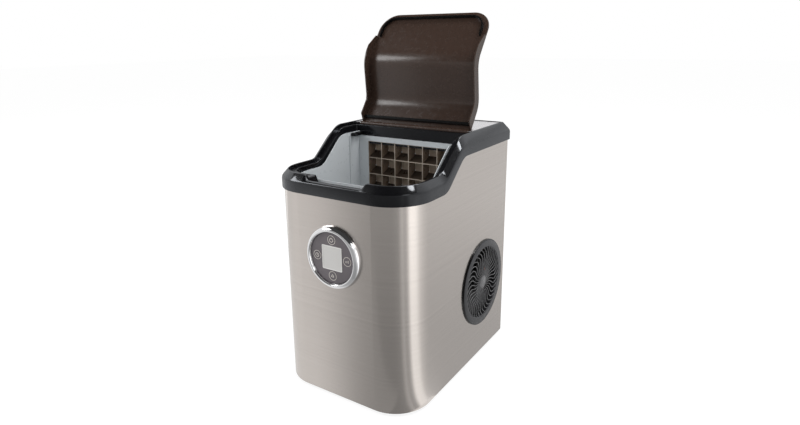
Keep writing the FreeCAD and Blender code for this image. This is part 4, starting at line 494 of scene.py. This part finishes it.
lid = {
    "half": 104, "back": 50, "run": 52, "front": 192.5, "rise": 4.5, "fall": 46, "knee": 36, "corner": 33,
    "rear": 1, "tail": 1, "cornerSteps": 14, "sheet": 2.5, "rimRadius": 0.8, "barrel": 4, "open": 126,
    "bendCuts": (-118, -34, 43), "hingeCuts": [-26, -20],
    "skirtDeep": 15.5, "skirtWall": 2.2, "skirtRear": -4.5, "skirtFull": -14, "skirtFront": -147.5,
    "skirtTaper": -122, "skirtTip": 6, "skirtLean": 0.9, "ribRear": -20, "trim": 1.3,
    "trimProud": 0.15, "ribInset": 8.5, "ribWall": 2.2, "ribDeep": 5,
    "hingeRib": (-15.5, -11.5, -7.5), "hingeRibInset": 3,
}


def bendLid(co):
    # the lid is built flat and closed, then laid along its stepped profile
    profile = (lid["rise"] - lid["fall"], lid["rise"], -lid["back"] - lid["run"], -lid["back"], lid["knee"])
    height = stepHeight(co.y, *profile)
    slope = (stepHeight(co.y + 0.05, *profile) - stepHeight(co.y - 0.05, *profile)) / 0.1
    long = math.sqrt(1 + slope * slope)
    return Vector((co.x, co.y - co.z * slope / long, height + co.z / long))


def addSkirt(bm, inner, outer, deep, height):
    # a side wall under the lid, cut back at the hinge and tapered towards its front end
    low = (min(inner, outer), lid["skirtFront"], -deep)
    wall = addBlock(bm, low, (max(inner, outer), lid["skirtRear"], height - deep))
    for vert in wall:
        if vert.co.y > lid["skirtFront"] + 1 and vert.co.z < height - deep - 0.1:
            vert.co.y = lid["skirtFull"]
        elif vert.co.y > lid["skirtFront"] + 1 and height < lid["trim"] + 1:
            vert.co.y = lid["skirtFull"] + height * lid["skirtLean"]
    taper = (0, lid["skirtTaper"], 0)
    bmesh.ops.bisect_plane(bm, geom=withFaces(bm, wall), plane_co=taper, plane_no=(0, 1, 0), dist=1e-4)
    for vert in wall:
        if vert.co.y < lid["skirtFront"] + 1 and vert.co.z < -lid["sheet"] - 0.1:
            vert.co.z += deep - lid["skirtTip"]


def makeLid():
    bm = bmesh.new()
    sheet = lid["sheet"]
    ends = (lid["tail"], lid["cornerSteps"])
    outline = ringLoop(bm, lid["half"], -lid["front"], lid["rear"], 0, lid["corner"], *ends)
    face = bmesh.ops.contextual_create(bm, geom=outline)["faces"]
    bmesh.ops.recalc_face_normals(bm, faces=face)
    lower = bmesh.ops.extrude_face_region(bm, geom=face)["geom"]
    bmesh.ops.translate(bm, verts=onlyVerts(lower), vec=(0, 0, -sheet))
    around = [edge for edge in bm.edges if abs(edge.verts[0].co.z - edge.verts[1].co.z) < 0.01]
    roundEdges(bm, around, lid["rimRadius"])
    ribs = bmesh.new()
    for side in (-1, 1):
        inner, outer = side * (lid["half"] - lid["skirtWall"]), side * lid["half"]
        addSkirt(bm, inner, outer, lid["skirtDeep"], lid["skirtDeep"] - sheet)
        proud = lid["trimProud"]
        addSkirt(ribs, inner - side * proud, outer + side * proud, lid["skirtDeep"] + proud, lid["trim"])
    half, corner = lid["half"] - lid["ribInset"], lid["corner"] - lid["ribInset"]
    tip, wall = -sheet - lid["ribDeep"], lid["ribWall"]
    start = lid["ribInset"] - lid["front"]
    loops = []
    for inset, z in ((0, -sheet), (0, tip), (wall, tip), (wall, -sheet)):
        loops.append(ringLoop(ribs, half - inset, start + inset, lid["ribRear"], z, corner - inset, *ends))
    for one, two in zip(loops, loops[1:] + loops[:1]):
        bmesh.ops.bridge_loops(ribs, edges=one + two)
    everything = ribs.verts[:] + ribs.edges[:] + ribs.faces[:]
    # only the front of the rib's ring is kept, as far back as the skirts begin
    cut = bmesh.ops.bisect_plane(ribs, geom=everything, plane_co=(0, lid["skirtFront"] + 1, 0),
                                 plane_no=(0, 1, 0), clear_outer=True)["geom_cut"]
    bmesh.ops.holes_fill(ribs, edges=[part for part in cut if isinstance(part, bmesh.types.BMEdge)], sides=0)
    ribY, ribEnd, ribLow = lid["hingeRib"]
    ribHalf = lid["half"] - lid["hingeRibInset"]
    addBlock(ribs, (-ribHalf, ribY, ribLow), (ribHalf, ribEnd, -sheet))
    cutAcross(bm, 1, spread(*lid["bendCuts"]) + lid["hingeCuts"])
    for part in (bm, ribs):
        for vert in part.verts:
            vert.co = bendLid(vert.co)
    bmesh.ops.create_cone(bm, cap_ends=True, segments=28, radius1=lid["barrel"], radius2=lid["barrel"],
                          depth=2 * lid["half"] - 2, matrix=Matrix.Rotation(math.pi / 2, 4, "Y"))
    turn = Matrix.Translation((0, lidAxis.y, lidAxis.z)) @ Matrix.Rotation(-math.radians(lid["open"]), 4, "X")
    publish(bm, "smokedLid", "lid", "lid_plastic", ("lid",), sharp=40, turn=turn)
    publish(ribs, "lidRibs", "lid", "lid_plastic", finish="rib_black", sharp=40, turn=turn)


makeLid()
print("lid made")


# tub liner

tub = {
    "half": 100, "front": 30, "rear": 150, "back": 232, "corner": 30, "floor": 25.2, "slopeFoot": 188,
    "slopeHead": 236, "lip": (327.5, 371, 101.8, 150.9), "wall": 1.2, "gutter": 25, "gutterHalf": 112,
    "beadFront": 171.5, "beadRear": 174.5, "beadProud": 1.6, "beadSunk": 0.4, "beadTop": 366, "beadFoot": 198,
    "flat": 300, "floorRound": 6, "lipRound": 0.45, "rearCorners": (8, 3), "bendAbove": 5,
}


def makeLiner():
    bm = bmesh.new()
    half, front, rear, back, corner = tub["half"], tub["front"], tub["rear"], tub["back"], tub["corner"]
    wall, flat = tub["wall"], tub["flat"]
    gutter = flat - tub["gutter"]
    wide = tub["gutterHalf"]
    reach = wide - half
    soft, tight = tub["rearCorners"]
    sections = [
        (half, front, rear, tub["floor"], corner, soft), (half, front, rear, tub["slopeFoot"], corner, soft),
        (half, front, back, tub["slopeHead"], corner, tight), (half, front, back, flat, corner, tight),
        (half + wall, front - wall, back + wall, flat, corner + wall, tight),
        (half + wall, front - wall, back + wall, gutter, corner + wall, tight),
        (wide, front - reach, back + 2 * wall, gutter, corner + reach, tight),
        (wide, front - reach, back + 2 * wall, gutter - wall, corner + reach, tight),
        (half + wall, front - wall, back + wall, gutter - wall, corner + wall, tight),
        (half + wall, front - wall, back + wall, tub["slopeHead"] - wall, corner + wall, tight),
        (half + wall, front - wall, rear + wall, tub["slopeFoot"] - wall, corner + wall, soft),
        (half + wall, front - wall, rear + wall, tub["floor"] - wall, corner + wall, soft),
    ]
    loops = [ringLoop(bm, *section) for section in sections]
    for one, two in zip(loops, loops[1:]):
        bmesh.ops.bridge_loops(bm, edges=one + two)
    for end in (loops[0], loops[-1]):
        bmesh.ops.contextual_create(bm, geom=end)
    roundEdges(bm, loops[0], tub["floorRound"], 4)
    roundEdges(bm, loops[3] + loops[4], tub["lipRound"], 2)
    cutAcross(bm, 1, spread(*rim["kneeCuts"]))
    for vert in bm.verts:
        if vert.co.z > tub["slopeHead"] + tub["bendAbove"]:
            vert.co.z += stepHeight(vert.co.y, *tub["lip"], rim["knee"]) - flat
    for side in (-1, 1):  # a slim upright bead in each side wall
        edge, far = side * (half - tub["beadProud"]), side * (half + tub["beadSunk"])
        addBlock(bm, (min(edge, far), tub["beadFront"], tub["beadFoot"]),
                 (max(edge, far), tub["beadRear"], tub["beadTop"]))
    publish(bm, "tubLiner", "cabinet", "liner_plastic", ("bin_liner",), sharp=40)


makeLiner()
print("liner made")


# small pieces round the throat and in the mould

details = {
    "capHigh": 5.5, "capGap": 3, "pad": 0.5, "padFoot": 2.6, "padTop": 2.3, "columns": 6, "rows": 4,
    "corner": 1.4, "pin": 1.1, "pinFloor": 9.5, "pinBack": 1.2, "pinUp": 1.5, "highlightRidge": 0.35,
    "ridgeDeep": 0.9, "ridgeSunk": 0.1,
}


def makeSensorCaps():
    low, high = corners("ice_full_sensor")
    middle, gap = (low.y + high.y) / 2, details["capGap"] / 2
    bm = bmesh.new()
    for start, end in ((low.y, middle - gap), (middle + gap, high.y)):
        addBlock(bm, (low.x, start, high.z - details["capHigh"]), (high.x, end, high.z))
    publish(bm, "sensorCaps", "cabinet", "mould_plastic", ("ice_full_sensor",), finish="rib_black",
            rounding=0.8)


def makeBumperPads():
    low, high = corners("lid_bumpers")
    foot, top = details["padFoot"], details["padTop"]
    bm = bmesh.new()
    for x in (low.x + foot, high.x - foot):
        middle = Matrix.Translation((x, (low.y + high.y) / 2, low.z + details["pad"] / 2))
        bmesh.ops.create_cone(bm, cap_ends=True, segments=24, radius1=foot, radius2=top, depth=details["pad"],
                              matrix=middle)
    publish(bm, "bumperPads", "cabinet", "black_rubber", ("lid_bumpers",))


def makeMouldPins():
    # a pin and an upright ridge at the back of each cell, in its left corner; both are pale as painted
    # highlight: the pin near white for a glint dot, the ridge for a bright streak down the back wall
    low, high = corners("ice_grid")
    wide = (high.x - low.x) / details["columns"]
    tall = (high.z - low.z) / details["rows"]
    half, corner = details["highlightRidge"], details["corner"]
    pins, highlightRidges = bmesh.new(), bmesh.new()
    for column in range(details["columns"]):
        for row in range(details["rows"]):
            x, z = low.x + column * wide + corner, low.z + row * tall + details["pinFloor"]
            spot = Matrix.Translation((x, high.y - details["pinBack"], z + details["pinUp"]))
            bmesh.ops.create_uvsphere(pins, u_segments=12, v_segments=8, radius=details["pin"], matrix=spot)
            addBlock(highlightRidges, (x - half, high.y - details["ridgeDeep"], z),
                     (x + half, high.y + details["ridgeSunk"], low.z + (row + 1) * tall - corner))
    publish(pins, "mouldPins", "cabinet", "pin_steel", finish="pin_bright")
    publish(highlightRidges, "mouldHighlightRidges", "cabinet", "mould_plastic", finish="highlightRidge")


makeSensorCaps()
makeBumperPads()
makeMouldPins()
print("details made")


# control dial

dial = {
    "height": 225.5, "outer": 47.5, "bore": 38, "proud": 9, "crown": 40.4, "inner": 4.2, "steps": 96,
    "fit": 0.1, "sunk": 1, "innerEdge": ((1.1, 0.9), (0.7, 0.35)), "outerInset": 2,
    "faceFront": -5, "window": (34, 35), "windowEdge": 1.3, "edgeSpan": (0.5, 0.05),
    "keyRing": 27, "keyProud": 0.3,
}


def lathe(bm, profile, centre, axis, steps, closed=True):
    # profile points are (radius, distance along the axis from the centre)
    side = Vector((0, 0, 1))
    along = Vector(axis)
    verts = [bm.verts.new(Vector(centre) + side * radius + along * far) for radius, far in profile]
    edges = [bm.edges.new(pair) for pair in zip(verts, verts[1:] + (verts[:1] if closed else []))]
    bmesh.ops.spin(bm, geom=verts + edges, cent=centre, axis=axis, angle=2 * math.pi, steps=steps,
                   use_merge=True)


def makeDial():
    centre = (0, 0, dial["height"])
    bm = bmesh.new()
    proud, crown = dial["proud"], dial["crown"]
    bore = dial["bore"] + dial["fit"]
    profile = [(bore, dial["sunk"]), (bore, -dial["inner"])]
    for inward, back in dial["innerEdge"]:
        profile.append((crown - inward, back - proud))
    for angle in spread(0, 90, 10):
        turn = math.radians(angle)
        profile.append((crown + (dial["outer"] - crown) * math.sin(turn), -proud * math.cos(turn)))
    profile.append((dial["outer"] - dial["outerInset"], dial["sunk"]))
    lathe(bm, profile, centre, (0, 1, 0), dial["steps"])
    publish(bm, "dialRing", "cabinet", "chrome_plating", ("control_bezel",), sharp=50)


def addBar(bm, start, end, width, near, far):
    # a straight mark in the plane of the dial, between two points given as (x, z)
    run = Vector((end[0] - start[0], 0, end[1] - start[1]))
    middle = Vector(((start[0] + end[0]) / 2, (near + far) / 2, (start[1] + end[1]) / 2))
    turn = Vector((1, 0, 0)).rotation_difference(run).to_matrix().to_4x4()
    size = Matrix.Diagonal((run.length + width * 0.6, abs(far - near), width, 1))
    bmesh.ops.create_cube(bm, size=1, matrix=Matrix.Translation(middle) @ turn @ size)


def addRing(bm, centre, radius, width, near, far, steps=28):
    profile = [(radius, near), (radius, far), (radius + width, far), (radius + width, near)]
    lathe(bm, profile, (centre[0], 0, centre[1]), (0, 1, 0), steps)


marks = {
    "width": 0.75, "thick": 0.12, "outline": (6.2, 0.7),
    "power": {"body": "power_button", "toward": (0, 1), "ring": 2.5, "bars": (((0, 1.1), (0, 3.6)),)},
    "timer": {"body": "timer_button", "toward": (-1, 0), "ring": 2.6,
              "bars": (((0, 0), (0, 1.8)), ((0, 0), (1.4, -0.4)))},
    "size": {"body": "size_button", "toward": (1, 0), "ring": 0,
             "bars": (((-2.4, -1.6), (-2.4, 0.2)), ((-0.2, -1.6), (-0.2, 1.2)), ((2.2, -1.6), (2.2, 2.2)))},
    "clean": {"body": "clean_button", "toward": (0, -1), "ring": 0,
              "bars": (((-2.5, -1.5), (0, 2.6)), ((0, 2.6), (2.5, -1.5)), ((-2.5, -1.5), (2.5, -1.5)))},
}


def makeMarks():
    # key marks ride on their keys, and the ring round each key stays on the panel
    outlines = bmesh.new()
    front = dial["faceFront"]
    keyFront = front - dial["keyProud"]
    keyEnd = keyFront - marks["thick"]
    for name in ("power", "timer", "size", "clean"):
        mark = marks[name]
        towardX, towardZ = mark["toward"]
        spot = (towardX * dial["keyRing"], dial["height"] + towardZ * dial["keyRing"])
        addRing(outlines, spot, *marks["outline"], front, front - marks["thick"], 40)
        bm = bmesh.new()
        if mark["ring"]:
            addRing(bm, spot, mark["ring"], marks["width"], keyFront, keyEnd)
        for start, end in mark["bars"]:
            ends = [(spot[0] + x, spot[1] + z) for x, z in (start, end)]
            addBar(bm, *ends, marks["width"], keyFront, keyEnd)
        publish(bm, name + "Mark", mark["body"], "panel_face", finish="legend")
    publish(outlines, "keyOutlines", "cabinet", "panel_face", finish="legend")


def makeWindowEdge():
    wide, tall = dial["window"]
    half = dial["windowEdge"] / 2
    near, far = (dial["faceFront"] - step for step in dial["edgeSpan"])
    middle = dial["height"]
    bm = bmesh.new()
    for side in (-1, 1):
        x, z = side * wide / 2, middle + side * tall / 2
        addBlock(bm, (x - half, near, middle - tall / 2), (x + half, far, middle + tall / 2))
        addBlock(bm, (-wide / 2, near, z - half), (wide / 2, far, z + half))
    publish(bm, "windowEdge", "cabinet", "display", finish="window_edge", rounding=0.25)


makeDial()
makeMarks()
makeWindowEdge()
print("dial made")


# side grille

grille = {
    "y": 236.6, "z": 127.4, "face": 122.5, "outer": 73, "mouth": 60, "hub": 11, "proud": 2.8, "shadowRing": 1.6,
    "steps": 96,
    "slats": 36, "slatWide": 1.25, "slatDeep": 1.0, "slatDrop": 0.7, "sway": 0.13, "lean": 0.35,
    "leads": ((15, 15.5), (20, 11), (15, 4.5)), "lead": (3.4, 1.6), "leadSpan": (-4.2, -3),
}


def makeGrilleRing(centre):
    proud, mouth, outer = grille["proud"], grille["mouth"], grille["outer"]
    edge = outer - grille["shadowRing"]
    ring = bmesh.new()
    profile = [(mouth, -2.2), (mouth, proud - 1.2), (mouth + 1.4, proud), (edge - 0.4, proud),
               (edge, proud - 0.3), (edge, 0), (edge - 3, -0.5)]
    lathe(ring, profile, centre, (1, 0, 0), grille["steps"])
    publish(ring, "grilleRing", "cabinet", "grille_plastic", ("fan_grille",), finish="grille_ring", sharp=40)
    # painted shadow: a black ring just outside the grille's rim stands in for the shadowed side of its proud
    # flange
    shadowRing = bmesh.new()
    wall = [(edge - 0.2, 0), (edge - 0.2, proud - 0.1), (outer - 0.8, proud - 0.1),
            (outer - 0.2, proud - 0.7), (outer, 0)]
    lathe(shadowRing, wall, centre, (1, 0, 0), grille["steps"])
    publish(shadowRing, "grilleShadowRing", "cabinet", "black_rubber", finish="rib_black")


def bendSlat(co):
    # a flat strip one unit long becomes an S-shaped slat from the hub to the ring, narrower at the hub
    along, across, high = co.x + 0.5, co.y, co.z
    hub, mouth = grille["hub"], grille["mouth"]
    radius = hub - 0.6 + (mouth + 1.2 - hub) * along
    swing = grille["sway"] * math.sin(2 * math.pi * along) * (1.25 - along * 0.5) + grille["lean"] * along
    wide = grille["slatWide"] * (0.45 + 0.55 * along)
    spot = Matrix.Rotation(swing, 3, "X") @ Vector((0, across * wide, radius))
    level = grille["proud"] - grille["slatDrop"] - grille["slatDeep"] * (1 - high)
    return Vector((grille["face"] + level, grille["y"] + spot.y, grille["z"] + spot.z))


def makeSlats(centre):
    bm = bmesh.new()
    hub, proud = grille["hub"], grille["proud"]
    profile = [(0.01, -2), (hub, -2), (hub, proud - 1.4), (hub - 1.5, proud - 0.5), (0.01, proud - 0.1)]
    lathe(bm, profile, centre, (1, 0, 0), 48, closed=False)
    hubVerts = set(bm.verts)
    bmesh.ops.create_grid(bm, x_segments=14, y_segments=1, size=0.5)
    strip = set(bm.verts) - hubVerts
    faces = [face for face in bm.faces if all(vert in strip for vert in face.verts)]
    raised = bmesh.ops.extrude_face_region(bm, geom=faces)["geom"]
    bmesh.ops.translate(bm, verts=onlyVerts(raised), vec=(0, 0, 1))
    slat = [vert for vert in bm.verts if vert not in hubVerts]
    for vert in slat:
        vert.co = bendSlat(vert.co)
    copies = grille["slats"] - 1
    turn = 2 * math.pi * copies / grille["slats"]
    bmesh.ops.spin(bm, geom=withFaces(bm, slat), cent=centre, axis=(1, 0, 0), angle=turn, steps=copies,
                   use_duplicate=True)
    publish(bm, "sideGrille", "cabinet", "grille_plastic", ("fan_grille",), sharp=40)


def makeFanLeads(centre):
    bm = bmesh.new()
    start, end = (grille["face"] + step for step in grille["leadSpan"])
    long, thick = grille["lead"]
    for y, z in grille["leads"]:
        low = (start, centre[1] + y, centre[2] + z)
        addBlock(bm, low, (end, low[1] + long, low[2] + thick))
    publish(bm, "fanLeads", "cabinet", "components", finish="orange", rounding=0.3)


def makeGrille():
    centre = (grille["face"], grille["y"], grille["z"])
    makeGrilleRing(centre)
    makeSlats(centre)
    makeFanLeads(centre)


makeGrille()
print("grille made")


# studio

studio = {
    "floor": 12, "floorGlow": 0.88, "floorShade": 0.2, "worldDiffuse": 0.55, "target": (0, 0, 0.25),
    "ceiling": {"radius": 2.8, "centre": (-0.2, -1.6, 2.1), "glow": 0.05},
    "lamps": {  # place, disk width in metres, watts
        "keySoftbox": ((-2.0, -1.3, 1.9), 1.3, 30), "fillSoftbox": ((2.0, -0.9, 1.9), 1.0, 6),
        "rimSpark": ((0.95, 0.28, 1.9), 0.4, 8), "topSoftbox": ((0.2, 0.6, 2.0), 1.2, 15),
    },
}


def lamp(name, place, size, energy):
    light = bpy.data.lights.new(name, "AREA")
    light.shape = "DISK"
    light.size = size
    light.energy = energy
    holder = bpy.data.objects.new(name, light)
    holder.location = place
    aim = Vector(studio["target"]) - Vector(place)
    holder.rotation_euler = aim.to_track_quat("-Z", "Y").to_euler()
    scene.collection.objects.link(holder)


def directlySeen(tree):
    # 1 for a ray from the camera, off a gloss or through a clear piece, and 0 for soft light
    path = addNode(tree, "ShaderNodeLightPath")
    total = path.outputs["Is Camera Ray"]
    for kind in ("Is Glossy Ray", "Is Transmission Ray"):
        pick = addNode(tree, "ShaderNodeMath", operation="MAXIMUM")
        tree.links.new(total, pick.inputs[0])
        tree.links.new(path.outputs[kind], pick.inputs[1])
        total = pick.outputs[0]
    return total


# Reflecting cards, seen only in the metal and the gloss. Each is a floor and a wall round its centre, from
# the start angle to the end angle. The shades are brightnesses at angles, and dim is the share kept near it.
cards = {
    "leftCard": {
        "centre": (0.495, 0.436), "near": 0.72, "dim": 1.0, "start": -75, "end": -30, "level": 0.004,
        "wall": (2.6, 1.1),
        "shades": ((-75, 0.80), (-50, 0.88), (-42.5, 0.88), (-40.5, 0.74), (-38, 0.50), (-36, 0.38),
                   (-30, 0.35)),
    },
    "rightCard": {
        "centre": (0.08, -0.10), "near": 0.05, "dim": 0.72, "start": -30, "end": 250, "level": 0.003,
        "wall": (1.9, 1.0),
        "shades": ((-30, 0.40), (28, 0.40), (44, 0.46), (53, 0.80), (60, 0.62), (66, 0.68), (76, 1.75),
                   (92, 1.65), (106, 1.1), (122, 0.88), (140, 0.76), (152, 0.74), (166, 0.74), (250, 0.8)),
    },
}


def addCard(name, bm, makeGlow):
    mesh = bpy.data.meshes.new(name)
    bm.to_mesh(mesh)
    bm.free()
    card = bpy.data.objects.new(name, mesh)
    scene.collection.objects.link(card)
    for ray in ("camera", "diffuse", "transmission", "shadow", "volume_scatter"):
        setattr(card, "visible_" + ray, False)
    material = bpy.data.materials.new(name)
    material.use_nodes = True
    tree = material.node_tree
    tree.nodes.clear()
    output = addNode(tree, "ShaderNodeOutputMaterial")
    tree.links.new(makeGlow(tree).outputs[0], output.inputs["Surface"])
    mesh.materials.append(material)


def makeCard(name, centre, near, dim, start, end, level, wall, shades):
    bm = bmesh.new()
    reach, high = wall
    # the profile is spun round the centre, from the direction straight ahead towards the right
    places = [(near, level), (reach * 0.85, level), (reach, high * 0.1), (reach, high)]
    verts = [bm.verts.new((centre[0], centre[1] - far, z)) for far, z in places]
    edges = [bm.edges.new(pair) for pair in zip(verts, verts[1:])]
    bmesh.ops.rotate(bm, verts=verts, cent=(*centre, 0), matrix=Matrix.Rotation(math.radians(start), 3, "Z"))
    sweep = math.radians(end - start)
    bmesh.ops.spin(bm, geom=verts + edges, cent=(*centre, 0), axis=(0, 0, 1), angle=sweep, steps=48)

    def shadeRound(tree):
        place = addNode(tree, "ShaderNodeTexCoord")
        moved = addNode(tree, "ShaderNodeMapping", {"Vector": place.outputs["Object"],
                                                   "Location": (-centre[0], -centre[1], 0)})
        around = addNode(tree, "ShaderNodeTexGradient", {"Vector": moved.outputs["Vector"]},
                         gradient_type="RADIAL")
        ramp = addNode(tree, "ShaderNodeValToRGB", {"Fac": around.outputs["Fac"]})
        points = ramp.color_ramp.elements
        while len(points) < len(shades):
            points.new(0.5)
        for point, (angle, value) in zip(points, shades):
            point.position = (angle + 90) / 360
            point.color = (value / 2, value / 2, value / 2, 1)
        away = addNode(tree, "ShaderNodeVectorMath", {0: moved.outputs["Vector"]}, operation="LENGTH")
        power = addNode(tree, "ShaderNodeMapRange", {"Value": away.outputs["Value"], "From Min": 0.25,
                                                    "From Max": 1.1, "To Min": 2 * dim, "To Max": 2.0})
        return addNode(tree, "ShaderNodeEmission", {"Color": ramp.outputs["Color"],
                                                    "Strength": power.outputs["Result"]})

    addCard(name, bm, shadeRound)


def makeCeiling():
    ceiling = studio["ceiling"]
    bm = bmesh.new()
    bmesh.ops.create_circle(bm, cap_ends=True, segments=48, radius=ceiling["radius"],
                            matrix=Matrix.Translation(ceiling["centre"]))

    def evenGlow(tree):
        return addNode(tree, "ShaderNodeEmission", {"Color": (1, 1, 1, 1), "Strength": ceiling["glow"]})

    addCard("ceilingCard", bm, evenGlow)


def makeWorld():
    world = bpy.data.worlds.new("studioWorld")
    scene.world = world
    world.use_nodes = True
    tree = world.node_tree
    tree.nodes.clear()
    soft = addNode(tree, "ShaderNodeBackground", {"Color": (1, 1, 1, 1), "Strength": studio["worldDiffuse"]})
    white = addNode(tree, "ShaderNodeBackground", {"Color": (1, 1, 1, 1), "Strength": 1.0})
    mix = addNode(tree, "ShaderNodeMixShader", {"Fac": directlySeen(tree)})
    tree.links.new(soft.outputs[0], mix.inputs[1])
    tree.links.new(white.outputs[0], mix.inputs[2])
    output = addNode(tree, "ShaderNodeOutputWorld")
    tree.links.new(mix.outputs[0], output.inputs["Surface"])


def makeFloor():
    bm = bmesh.new()
    bmesh.ops.create_grid(bm, x_segments=1, y_segments=1, size=studio["floor"])
    mesh = bpy.data.meshes.new("studioFloor")
    bm.to_mesh(mesh)
    bm.free()
    floor = bpy.data.objects.new("studioFloor", mesh)
    scene.collection.objects.link(floor)
    material = bpy.data.materials.new("studioFloor")
    material.use_nodes = True
    tree = material.node_tree
    tree.nodes.clear()
    # seen directly, the floor glows almost white and keeps the shadow as the small part that its shade adds
    glow = addNode(tree, "ShaderNodeEmission", {"Color": (1, 1, 1, 1), "Strength": studio["floorGlow"]})
    thin = addNode(tree, "ShaderNodeBsdfDiffuse", {"Color": (*(studio["floorShade"],) * 3, 1)})
    both = addNode(tree, "ShaderNodeAddShader")
    tree.links.new(glow.outputs[0], both.inputs[0])
    tree.links.new(thin.outputs[0], both.inputs[1])
    plain = addNode(tree, "ShaderNodeBsdfDiffuse", {"Color": (0.8, 0.8, 0.8, 1)})
    mix = addNode(tree, "ShaderNodeMixShader", {"Fac": directlySeen(tree)})
    tree.links.new(plain.outputs[0], mix.inputs[1])
    tree.links.new(both.outputs[0], mix.inputs[2])
    output = addNode(tree, "ShaderNodeOutputMaterial")
    tree.links.new(mix.outputs[0], output.inputs["Surface"])
    mesh.materials.append(material)


makeWorld()
makeFloor()
for name, card in cards.items():
    makeCard(name, **card)
makeCeiling()
for name, settings in studio["lamps"].items():
    lamp(name, *settings)
print("studio made")


# camera

view = {"lens": 26.02, "sensor": 36, "shift": (0.01179, -0.03114), "nearest": 0.01,
        "place": (0.4954, -0.7542, 0.5348), "angles": (75.218, 0.747, 33.540)}


def makeCamera():
    camera = bpy.data.cameras.new("mainCamera")
    camera.lens = view["lens"]
    camera.sensor_width = view["sensor"]
    camera.shift_x, camera.shift_y = view["shift"]
    camera.clip_start = view["nearest"]
    viewer = bpy.data.objects.new("mainCamera", camera)
    viewer.location = view["place"]
    viewer.rotation_euler = tuple(math.radians(angle) for angle in view["angles"])
    scene.collection.objects.link(viewer)
    scene.camera = viewer


makeCamera()
scene.view_settings.view_transform = "Standard"
print("camera placed")
